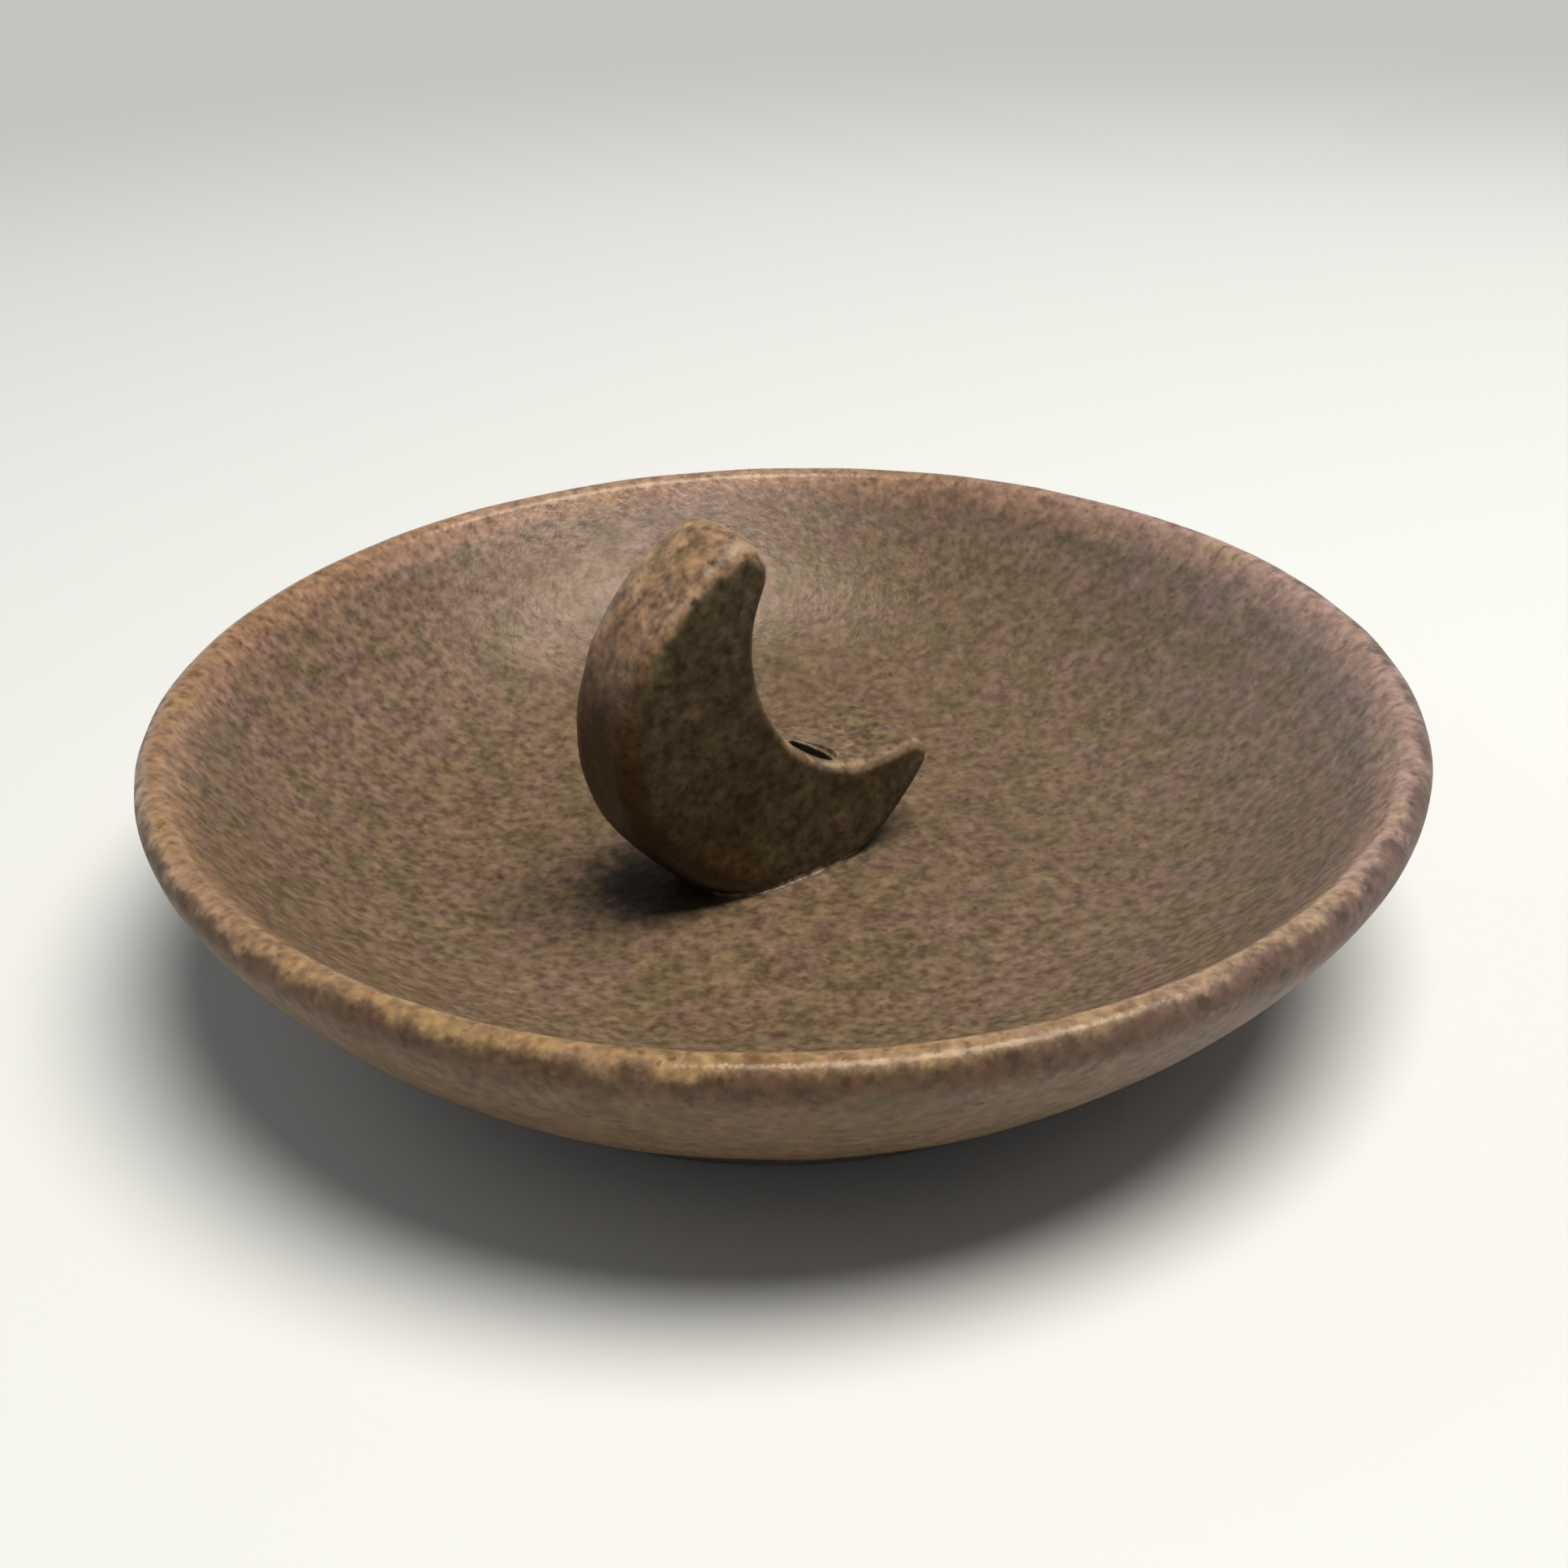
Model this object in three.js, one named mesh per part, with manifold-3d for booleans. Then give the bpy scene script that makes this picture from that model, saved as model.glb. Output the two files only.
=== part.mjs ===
// A stoneware incense holder: a round dish with a rolled lip and a turned foot ring, and in its middle
// a thick crescent of clay that stands on its back. A stick of incense leans out of a hole in the
// crescent's hollow side, and its ash falls in the dish. Millimetres, +Z up. The dish's axis is the Z
// axis, and its foot ring stands on z = 0.

import * as THREE from 'three';
import { mergeVertices } from 'three/addons/utils/BufferGeometryUtils.js';
import Module from 'manifold-3d';

const wasm = await Module();
wasm.setup();

// Dish, outside: the wall is a curve from the foot ring up to an upright shoulder under the lip
const rimRadius = 55;
const rimHeight = 22.7;
const lipRadius = 1.7;
const shoulderHeight = 3.9;
const wallSweep = 6.4;
const wallLift = 1.85;
const footRadius = 37.4;
const footHeight = 2.4;
const footWidth = 4.4;
const footRound = 0.7;
const recessHeight = 1.9;

// Dish, inside: the lip runs over into a slope that levels out into a flat floor
const innerSlope = THREE.MathUtils.degToRad(50);
const innerReach = 15;
const floorSweep = 14.5;
const floorRadius = 20;
const floorHeight = 6.1;

// Crescent: its outline is one circle less another, with both horns rounded. Its edges are eased by
// moonEdgeRound, and the ones along its back widen to moonBackRound half way between the horns. Behind
// the upper horn the far edge widens to moonFarRound.
const moonRadius = 17.8;
const moonThickness = 10.2;
const moonEdgeRound = 1.1;
const moonBackRound = 2.7;
const moonFarRound = 2.8;
const moonFootCut = 2.05;
const hollowRadius = 14.3;
const hollowOffset = 11.95;
const hollowAngle = THREE.MathUtils.degToRad(33.3);
const upperHornRadius = 2.6;
const lowerHornRadius = 1.9;

// Crescent: what hands did to its horns. Each is pushed a little along the face and raised or lowered,
// and the clay round it follows as far as the reach. The upper one is crowned across its thickness.
const upperHornPush = -0.7;
const upperHornRaise = -0.8;
const upperHornReach = 16;
const lowerHornPush = -0.7;
const lowerHornRaise = 0.85;
const lowerHornReach = 13;
const hornCrown = 1.4;
const hornCrownReach = 9;

// Crescent: where it stands in the dish, and how far it is turned
const moonX = -1.0;
const moonY = -1.0;
const moonYaw = THREE.MathUtils.degToRad(35.8);

// Stick hole: blind, square to the hollow's surface, with a softened mouth
const stickHoleRadius = 2.1;
const stickHoleDepth = 8;
const stickHoleAngle = THREE.MathUtils.degToRad(242);
const stickHoleSide = -1.4;
const mouthRadius = 2.5;
const mouthDepth = 0.5;

// Joining slip: a thin bed under the crescent's foot, squeezed out into a bead all round it
const slipBed = 0.3;
const slipClearance = 0.3;
const slipHeight = 0.95;
const slipBead = 0.8;
const slipSquareness = 3.2;

// Smoothness of the curved surfaces, as counts of steps
const stepsAroundDish = 80;
const stepsAlongWall = 12;
const stepsAroundLip = 9;
const stepsAroundCorner = 3;
const stepsAlongBack = 44;
const stepsAlongHollow = 28;
const stepsAroundHorn = 8;
const stepsAcrossEdge = 5;
const stepsAcrossSide = 4;
const stepsAroundHole = 24;
const stepsAroundSlip = 56;
const stepsUpSlip = 4;

const leastHornRadius = 0.3;
const weldDistance = 1e-4;
const quarterTurn = Math.PI / 2;

// Materials

function glazedClay(color, roughness) {
  return new THREE.MeshStandardMaterial({ color, roughness, metalness: 0 });
}

const dishGlaze = glazedClay(0x776552, 0.5);
const crescentGlaze = glazedClay(0x6a5a48, 0.5);
const slipGlaze = glazedClay(0x8b7862, 0.45);

// Solids for cutting, and back again

function toSolid(geometry) {
  const shape = geometry.clone();
  shape.deleteAttribute('normal');
  shape.deleteAttribute('uv');
  const welded = mergeVertices(shape, weldDistance);
  return new wasm.Manifold(new wasm.Mesh({
    numProp: 3,
    vertProperties: new Float32Array(welded.attributes.position.array),
    triVerts: new Uint32Array(welded.index.array),
  }));
}

function toGeometry(solid) {
  const mesh = solid.getMesh();
  const geometry = new THREE.BufferGeometry();
  geometry.setAttribute('position', new THREE.BufferAttribute(new Float32Array(mesh.vertProperties), 3));
  geometry.setIndex(new THREE.BufferAttribute(new Uint32Array(mesh.triVerts), 1));
  geometry.computeVertexNormals();
  return geometry;
}

// A skin through a stack of closed outlines, all with as many points, and a flat cap at each end. The
// outlines run anticlockwise seen from above, and the stack rises along +Z.
function loft(rows) {
  const count = rows[0].length;
  const faces = [];
  for (let row = 0; row < rows.length - 1; row += 1) {
    for (let i = 0; i < count; i += 1) {
      const a = row * count + i;
      const b = row * count + ((i + 1) % count);
      faces.push(a, b, b + count, a, b + count, a + count);
    }
  }
  const capFaces = (row) => THREE.ShapeUtils.triangulateShape(row.map((p) => new THREE.Vector2(p.x, p.y)), []);
  const top = (rows.length - 1) * count;
  for (const [a, b, c] of capFaces(rows[0])) {
    faces.push(a, c, b);
  }
  for (const [a, b, c] of capFaces(rows[rows.length - 1])) {
    faces.push(top + a, top + b, top + c);
  }
  const places = rows.flat().flatMap((p) => p.toArray());
  const skin = new THREE.BufferGeometry();
  skin.setAttribute('position', new THREE.Float32BufferAttribute(places, 3));
  skin.setIndex(faces);
  return skin;
}

// Dish

// The wall sets out from the foot ring here, in the direction of its sweep and lift
const wallX = footRadius + footRound;
const wallY = footHeight + footRound * (wallLift / wallSweep);

// The foot ring's half section: the recess under the base, then down, across and up the ring, each
// corner eased.
function addFootRing(section) {
  const inner = footRadius - footWidth;
  section.moveTo(0, recessHeight);
  section.lineTo(inner - footRound, recessHeight);
  section.quadraticCurveTo(inner, recessHeight, inner, recessHeight - footRound);
  section.lineTo(inner, footRound);
  section.quadraticCurveTo(inner, 0, inner + footRound, 0);
  section.lineTo(footRadius - footRound, 0);
  section.quadraticCurveTo(footRadius, 0, footRadius, footRound);
  section.lineTo(footRadius, footHeight - footRound);
  section.quadraticCurveTo(footRadius, footHeight, wallX, wallY);
}

// Up the wall to the shoulder, over the lip and down inside to the middle of the floor. The flat floor
// is faceted as a middle, where the crescent stands, and an open ring round it.
function addWallAndFloor(section) {
  const lipX = rimRadius - lipRadius;
  const lipY = rimHeight - lipRadius;
  section.bezierCurveTo(wallX + wallSweep, wallY + wallLift, rimRadius, lipY - shoulderHeight, rimRadius, lipY);
  section.absarc(lipX, lipY, lipRadius, 0, quarterTurn + innerSlope, false);
  const start = section.currentPoint;
  section.bezierCurveTo(
    start.x - innerReach * Math.cos(innerSlope), start.y - innerReach * Math.sin(innerSlope),
    floorRadius + floorSweep, floorHeight,
    floorRadius, floorHeight,
  );
  section.lineTo(floorRadius / 2, floorHeight);
  section.lineTo(0, floorHeight);
}

// The curves of a section as one run of points, with its own count of steps for each kind of curve
function sectionPoints(section) {
  const points = [];
  for (const curve of section.curves) {
    let steps = 1;
    if (curve.isQuadraticBezierCurve) steps = stepsAroundCorner;
    if (curve.isCubicBezierCurve) steps = stepsAlongWall;
    if (curve.isEllipseCurve) steps = stepsAroundLip;
    for (const point of curve.getPoints(steps)) {
      const last = points[points.length - 1];
      if (!last || last.distanceTo(point) > weldDistance) points.push(point);
    }
  }
  return points;
}

function dishGeometry() {
  const section = new THREE.Path();
  addFootRing(section);
  addWallAndFloor(section);
  const turned = new THREE.LatheGeometry(sectionPoints(section), stepsAroundDish);
  turned.rotateX(quarterTurn);
  return toGeometry(toSolid(turned));
}

// Crescent, in its own frame: x runs along its face, y up from its foot and z across its thickness,
// towards its front face

const backCentre = new THREE.Vector2(0, moonRadius - moonFootCut);
const towardsHollow = new THREE.Vector2(Math.cos(hollowAngle), Math.sin(hollowAngle));
const hollowCentre = backCentre.clone().addScaledVector(towardsHollow, hollowOffset);

// The middle of a horn's round, which touches the back's circle from inside and the hollow's from
// outside. side is 1 for the upper horn and -1 for the lower one.
function hornCentre(backR, hollowR, hornR, side) {
  const fromBack = backR - hornR;
  const fromHollow = hollowR + hornR;
  const along = (fromBack ** 2 - fromHollow ** 2 + hollowOffset ** 2) / (2 * hollowOffset);
  const across = Math.sqrt(Math.max(fromBack ** 2 - along ** 2, 0));
  const sideways = new THREE.Vector2(-towardsHollow.y, towardsHollow.x);
  return backCentre.clone().addScaledVector(towardsHollow, along).addScaledVector(sideways, side * across);
}

function angleFrom(centre, point) {
  return Math.atan2(point.y - centre.y, point.x - centre.x);
}

function turnPast(angle, start) {
  return angle + 2 * Math.PI * Math.ceil((start - angle) / (2 * Math.PI));
}

// How wide the edges of the back are rounded, at a share of the way from the upper horn to the lower:
// hornRound at the upper horn, moonBackRound half way and moonEdgeRound at the lower horn
function backRound(share, hornRound) {
  const swell = (moonBackRound - moonEdgeRound) * Math.sin(Math.PI * share) ** 2;
  const fall = share < 0.5 ? (hornRound - moonEdgeRound) * Math.cos(Math.PI * share) ** 2 : 0;
  return moonEdgeRound + swell + fall;
}

// One row of the crescent's skin, grown by a clearance all round. turn says where the row lies on the
// rounded edges: at 0 it bounds the flat face, and at a quarter turn the sides stand square to it.
// hornRound is how wide the edge is rounded at the upper horn.
function crescentRow(turn, grow, hornRound) {
  const drawnIn = (round) => (round + grow) * (1 - Math.sin(turn)) - grow;
  const height = (round) => (round + grow) * (1 - Math.cos(turn)) - grow - moonThickness / 2;

  // Points along an arc, the last one left out, because the next arc starts there
  function arc(centre, radiusAt, start, end, steps, roundAt) {
    const points = [];
    for (let i = 0; i < steps; i += 1) {
      const share = i / steps;
      const angle = start + (end - start) * share;
      const radius = radiusAt(share);
      const x = centre.x + radius * Math.cos(angle);
      const y = centre.y + radius * Math.sin(angle);
      points.push(new THREE.Vector3(x, y, height(roundAt(share))));
    }
    return points;
  }

  const inset = drawnIn(moonEdgeRound);
  const hollowR = hollowRadius + inset;
  const upperR = Math.max(upperHornRadius - (inset + drawnIn(hornRound)) / 2, leastHornRadius);
  const lowerR = Math.max(lowerHornRadius - inset, leastHornRadius);
  const upper = hornCentre(moonRadius - drawnIn(hornRound), hollowR, upperR, 1);
  const lower = hornCentre(moonRadius - inset, hollowR, lowerR, -1);
  const backStart = angleFrom(backCentre, upper);
  const backEnd = turnPast(angleFrom(backCentre, lower), backStart);
  const lowerEnd = turnPast(angleFrom(lower, hollowCentre), backEnd);
  const hollowStart = turnPast(angleFrom(hollowCentre, lower), 0);
  const hollowEnd = angleFrom(hollowCentre, upper);
  const upperStart = angleFrom(upper, hollowCentre);
  const upperEnd = turnPast(backStart, upperStart);
  const alongBack = (share) => backRound(share, hornRound);
  const backR = (share) => moonRadius - drawnIn(alongBack(share));
  const edge = () => moonEdgeRound;
  const overHorn = (share) => moonEdgeRound + (hornRound - moonEdgeRound) * share ** 2;
  return [
    ...arc(backCentre, backR, backStart, backEnd, stepsAlongBack, alongBack),
    ...arc(lower, () => lowerR, backEnd, lowerEnd, stepsAroundHorn, edge),
    ...arc(hollowCentre, () => hollowR, hollowStart, hollowEnd, stepsAlongHollow, edge),
    ...arc(upper, () => upperR, upperStart, upperEnd, stepsAroundHorn, overHorn),
  ];
}

const upperHorn = hornCentre(moonRadius, hollowRadius, upperHornRadius, 1);
const lowerHorn = hornCentre(moonRadius, hollowRadius, lowerHornRadius, -1);

// 1 at the middle of a horn's round, and less the further a place lies from it, down to 0 at the reach
function nearness(place, horn, reach) {
  const near = Math.max(1 - Math.hypot(place.x - horn.x, place.y - horn.y) / reach, 0);
  return near ** 2 * (3 - 2 * near);
}

// Where a place of the plain crescent went when hands shaped its horns
function handShaped(place) {
  const upper = nearness(place, upperHorn, upperHornReach);
  const lower = nearness(place, lowerHorn, lowerHornReach);
  const midway = Math.max(1 - (2 * place.z / moonThickness) ** 2, 0);
  const crown = hornCrown * midway * nearness(place, upperHorn, hornCrownReach);
  return new THREE.Vector3(
    place.x + upperHornPush * upper + lowerHornPush * lower,
    place.y + upperHornRaise * upper + lowerHornRaise * lower + crown,
    place.z,
  );
}

// The whole crescent grown by a clearance all round, with its foot cut flat by a far larger block. Its
// rows run over the far edge, across the sides and over the front edge.
function crescentSolid(grow) {
  const far = [];
  const front = [];
  for (let step = 0; step <= stepsAcrossEdge; step += 1) {
    const turn = quarterTurn * (step / stepsAcrossEdge);
    far.push(crescentRow(turn, grow, moonFarRound));
    front.unshift(crescentRow(turn, grow, moonEdgeRound).map((p) => new THREE.Vector3(p.x, p.y, -p.z)));
  }
  const sides = [];
  for (let step = 1; step < stepsAcrossSide; step += 1) {
    sides.push(far[stepsAcrossEdge].map((p, i) => p.clone().lerp(front[0][i], step / stepsAcrossSide)));
  }
  const rows = [...far, ...sides, ...front].map((row) => row.map(handShaped));
  const body = toSolid(loft(rows));
  const block = 4 * moonRadius;
  const below = new THREE.BoxGeometry(block, block, block);
  below.translate(0, -block / 2 - grow, 0);
  return body.subtract(toSolid(below));
}

// A cutter for the stick hole, its mouth flared where it meets the hollow's surface
function stickHoleCutter() {
  const section = [
    new THREE.Vector2(0, -stickHoleDepth),
    new THREE.Vector2(stickHoleRadius, -stickHoleDepth),
    new THREE.Vector2(stickHoleRadius, -mouthDepth),
    new THREE.Vector2(mouthRadius, 0),
    new THREE.Vector2(mouthRadius, mouthRadius),
    new THREE.Vector2(0, mouthRadius),
  ];
  const cutter = new THREE.LatheGeometry(section, stepsAroundHole);
  const outward = new THREE.Vector3(-Math.cos(stickHoleAngle), -Math.sin(stickHoleAngle), 0);
  const turn = new THREE.Quaternion().setFromUnitVectors(new THREE.Vector3(0, 1, 0), outward);
  cutter.applyQuaternion(turn);
  cutter.translate(
    hollowCentre.x - outward.x * hollowRadius,
    hollowCentre.y - outward.y * hollowRadius,
    -stickHoleSide,
  );
  return toSolid(cutter);
}

function crescentGeometry() {
  const geometry = toGeometry(crescentSolid(0).subtract(stickHoleCutter()));
  return geometry.rotateX(quarterTurn);
}

// Joining slip

// How far the crescent's round back reaches from its middle, at a height above its foot
function backReach(height) {
  const down = moonRadius - moonFootCut - height;
  return Math.sqrt(moonRadius ** 2 - down ** 2);
}

// A rounded oblong between an ellipse and a rectangle
function slipOutline(halfLength, halfWidth, height) {
  const points = [];
  for (let i = 0; i < stepsAroundSlip; i += 1) {
    const angle = (2 * Math.PI * i) / stepsAroundSlip;
    const x = Math.cos(angle);
    const y = Math.sin(angle);
    const reach = (Math.abs(x) ** slipSquareness + Math.abs(y) ** slipSquareness) ** (-1 / slipSquareness);
    points.push(new THREE.Vector3(halfLength * x * reach, halfWidth * y * reach, height));
  }
  return points;
}

function slipGeometry() {
  const halfLength = backReach(slipHeight - slipBed - slipClearance) + slipBead;
  const halfWidth = moonThickness / 2 + slipBead;
  const rows = [];
  for (let step = 0; step <= stepsUpSlip; step += 1) {
    const turn = quarterTurn * (step / stepsUpSlip);
    const inset = slipBead * (1 - Math.cos(turn));
    rows.push(slipOutline(halfLength - inset, halfWidth - inset, slipHeight * Math.sin(turn)));
  }
  const socket = toSolid(toGeometry(crescentSolid(slipClearance)).rotateX(quarterTurn));
  const seated = socket.translate([0, 0, slipBed + slipClearance]);
  return toGeometry(toSolid(loft(rows)).subtract(seated));
}

// Assembly

function piece(name, geometry, material) {
  const mesh = new THREE.Mesh(geometry, material);
  mesh.name = name;
  return mesh;
}

const crescent = piece('crescent', crescentGeometry(), crescentGlaze);
crescent.position.set(moonX, moonY, floorHeight + slipBed + slipClearance);
crescent.rotation.z = moonYaw;

const joiningSlip = piece('joining_slip', slipGeometry(), slipGlaze);
joiningSlip.position.set(moonX, moonY, floorHeight);
joiningSlip.rotation.z = moonYaw;

const incenseHolder = new THREE.Group();
incenseHolder.add(piece('dish', dishGeometry(), dishGlaze), crescent, joiningSlip);

export default incenseHolder;
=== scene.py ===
# %% [markdown]
# # A stoneware incense holder
# A round dish of speckled stoneware, glazed a matt brown that breaks to tan on its lip, carries a thick
# crescent of the same clay. The crescent stands on its back, stuck down with slip, and has a blind hole
# in its hollow side for a stick of incense. This lesson dresses the measured solids of those three
# pieces: it works out a fine surface for each one, and mixes one glaze for all of them.

# %% Load the measured solids
import math

import bmesh
import bpy
import numpy as np
from mathutils import Euler, Matrix, Vector


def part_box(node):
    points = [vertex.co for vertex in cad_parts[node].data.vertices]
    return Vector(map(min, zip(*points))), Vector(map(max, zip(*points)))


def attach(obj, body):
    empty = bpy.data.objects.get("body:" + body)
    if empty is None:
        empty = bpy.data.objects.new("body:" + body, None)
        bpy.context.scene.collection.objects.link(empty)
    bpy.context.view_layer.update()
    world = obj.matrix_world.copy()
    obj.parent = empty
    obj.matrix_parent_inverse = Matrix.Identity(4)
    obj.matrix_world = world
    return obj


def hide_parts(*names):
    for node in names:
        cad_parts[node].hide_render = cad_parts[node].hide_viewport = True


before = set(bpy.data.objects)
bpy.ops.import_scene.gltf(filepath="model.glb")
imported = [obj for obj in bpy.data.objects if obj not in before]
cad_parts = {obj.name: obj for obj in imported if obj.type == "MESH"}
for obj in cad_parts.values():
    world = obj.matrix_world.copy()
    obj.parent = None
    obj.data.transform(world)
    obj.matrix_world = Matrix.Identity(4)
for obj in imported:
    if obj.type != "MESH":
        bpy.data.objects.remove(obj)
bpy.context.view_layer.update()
MM = 0.001

# %% [markdown]
# ## The camera
# The view is a close one from above the front of the dish. The ellipse of a round rim fixes a camera:
# how flat it looks gives the pitch, how it leans gives the roll, and how much wider the near half looks
# than the far half gives the distance. The lens is given by its focal length in pixels of the picture,
# so it turns into millimetres on a 36 mm sensor.

# %% Place the camera
PICTURE_PIXELS = 1932
FOCAL_PIXELS = 2500
SENSOR_WIDTH = 36.0
CAMERA_PLACE = Vector((0.05, -158.6, 102.3)) * MM
CAMERA_PITCH = math.radians(29.44)
CAMERA_ROLL = math.radians(-1.30)

camera_data = bpy.data.cameras.new("camera")
camera_data.sensor_width = SENSOR_WIDTH
camera_data.lens = SENSOR_WIDTH * FOCAL_PIXELS / PICTURE_PIXELS
camera_data.clip_start = 0.01
camera = bpy.data.objects.new("camera", camera_data)
bpy.context.scene.collection.objects.link(camera)
camera.location = CAMERA_PLACE
look = Euler((math.radians(90) - CAMERA_PITCH, 0, 0)).to_matrix()
roll = Euler((0, 0, CAMERA_ROLL)).to_matrix()
camera.rotation_euler = (look @ roll).to_euler()
bpy.context.scene.camera = camera
print("lens in mm:", round(camera_data.lens, 2))

# %% [markdown]
# ## Nodes without the clutter
# Every finish here is a tree of shader nodes. Writing one out socket by socket hides the idea, so a few
# small helpers do the wiring: `put` adds a node and fills its sockets, `calc` does one step of
# arithmetic, `blend` mixes two colours, `ease` turns a value into a soft step from 0 to 1 between two
# limits, `spread` maps it onto a straight ramp, and `cloud` is smooth noise whose lumps have a size in
# millimetres. The limits that ease and spread take, and the four numbers of a cloud, are named beside
# each finish, in the order in which the helper takes them.


# %% Helpers for shader nodes
def fill(tree, socket, value):
    """Joins a socket to another node's output, or gives it a plain value."""
    if isinstance(value, bpy.types.NodeSocket):
        tree.links.new(value, socket)
    else:
        socket.default_value = value


def put(tree, kind, inputs=None, **settings):
    """A new node of that kind, with its settings made and its sockets filled by name or number."""
    node = tree.nodes.new(kind)
    for name, value in settings.items():
        setattr(node, name, value)
    for key, value in (inputs or {}).items():
        fill(tree, node.inputs[key], value)
    return node


def calc(tree, operation, first, second=0.0):
    """One step of arithmetic on one or two values."""
    return put(tree, "ShaderNodeMath", {0: first, 1: second}, operation=operation).outputs[0]


def times(tree, first, *others):
    """The product of two or more values."""
    for other in others:
        first = calc(tree, "MULTIPLY", first, other)
    return first


def vector_calc(tree, operation, first, second=(0, 0, 0), output=0):
    """One step of arithmetic on one or two vectors. Output 0 is a vector, and output 1 is a number, such
    as a length or a dot product."""
    return put(tree, "ShaderNodeVectorMath", {0: first, 1: second}, operation=operation).outputs[output]


def scaled(tree, vector, factor):
    """A vector times a number."""
    return put(tree, "ShaderNodeVectorMath", {0: vector, "Scale": factor}, operation="SCALE").outputs[0]


def ease(tree, value, start, end):
    """0 before start and 1 past end, with a smooth step between them. start may be the larger one."""
    inputs = {"Value": value, "From Min": start, "From Max": end}
    return put(tree, "ShaderNodeMapRange", inputs, interpolation_type="SMOOTHSTEP").outputs["Result"]


def spread(tree, value, low, high, start=0.3, end=0.7):
    """A noise value from start to end, stretched in a straight line to run from low to high."""
    inputs = {"Value": value, "From Min": start, "From Max": end, "To Min": low, "To Max": high}
    return put(tree, "ShaderNodeMapRange", inputs).outputs["Result"]


def blend(tree, share, first, second, how="MIX"):
    """The first colour where share is 0 and the second where it is 1. Sockets 0, 6 and 7 of the node are
    the share and the two colours, and its output 2 is the colour."""
    node = put(tree, "ShaderNodeMix", data_type="RGBA", blend_type=how)
    for key, value in ((0, share), (6, first), (7, second)):
        fill(tree, node.inputs[key], value)
    return node.outputs[2]


def tint(tree, share, colour, tone):
    """The colour times a tone, as much as share says."""
    return blend(tree, share, colour, tone, "MULTIPLY")


def shade(tree, share, colour, value):
    """The colour made lighter or darker by a number that multiplies it, as much as share says."""
    grey = put(tree, "ShaderNodeCombineColor", {0: value, 1: value, 2: value}).outputs[0]
    return tint(tree, share, colour, grey)


def cloud(tree, place, size, detail=2.0, roughness=0.55, seed=0.0):
    """Smooth random lumps from 0 to 1, each about size millimetres across, at a place in millimetres."""
    moved = vector_calc(tree, "ADD", place, (seed, -seed, seed / 2))
    inputs = {"Vector": moved, "Scale": 1 / size, "Detail": detail, "Roughness": roughness}
    return put(tree, "ShaderNodeTexNoise", inputs, normalize=True).outputs[0]


def mesh_value(tree, name):
    """The value of that name which is written on the mesh."""
    return put(tree, "ShaderNodeAttribute", attribute_name=name).outputs["Fac"]


# %% [markdown]
# ## Light, sky and floor
# The light is one long, soft lamp nearly overhead and a little to the right, so upright faces stay dark,
# as they do on the crescent's front. It hangs close, so its light falls off across the floor. The sky
# adds a faint cool light from all sides, and more of it from a soft glow low at the back left, which
# gives the far wall of the dish its sheen. A camera sees a plain backdrop instead of both, and so does a
# reflection of what lies near the horizon. The floor runs into it without a line.

# %% Lamp and sky
LAMP_TILT = math.radians(13.2)
LAMP_BEARING = math.radians(-15)
LAMP_DISTANCE = 0.77
LAMP_LENGTH = 0.60
LAMP_WIDTH = 0.42
LAMP_TURN = math.radians(20)
LAMP_POWER = 6.1
LAMP_COLOUR = (1.0, 0.97, 0.915)
SKY_LIGHT = (0.055, 0.075, 0.095, 1.0)
BACKDROP = (0.56, 0.55, 0.53, 1.0)
BACKDROP_FULL = 0.12
BACKDROP_FADED = 0.40
GLOW_WAY = (-0.84, 0.48, 0.24)
GLOW_FULL = 0.97
GLOW_FADED = 0.75
GLOW_LIGHT = (0.72, 0.74, 0.76, 1.0)

lamp_data = bpy.data.lights.new("lamp", "AREA")
lamp_data.shape = "ELLIPSE"
lamp_data.size = LAMP_LENGTH
lamp_data.size_y = LAMP_WIDTH
lamp_data.energy = LAMP_POWER
lamp_data.color = LAMP_COLOUR
lamp = bpy.data.objects.new("lamp", lamp_data)
bpy.context.scene.collection.objects.link(lamp)
towards_lamp = Vector((
    math.sin(LAMP_TILT) * math.cos(LAMP_BEARING),
    math.sin(LAMP_TILT) * math.sin(LAMP_BEARING),
    math.cos(LAMP_TILT),
))
lamp.location = towards_lamp * LAMP_DISTANCE
lamp_across = towards_lamp.cross(Vector((math.cos(LAMP_TURN), math.sin(LAMP_TURN), 0))).normalized()
lamp_along = lamp_across.cross(towards_lamp)
lamp.rotation_euler = Matrix((lamp_along, lamp_across, towards_lamp)).transposed().to_euler()
print("the lamp hangs", round(lamp.location.z, 2), "m above the table")


def seen_share(tree):
    """1 for a ray from the camera or from a reflection, 0 for one that carries light."""
    ray = put(tree, "ShaderNodeLightPath")
    seen = calc(tree, "MAXIMUM", ray.outputs["Is Camera Ray"], ray.outputs["Is Glossy Ray"])
    return calc(tree, "MAXIMUM", seen, ray.outputs["Is Transmission Ray"])


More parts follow.
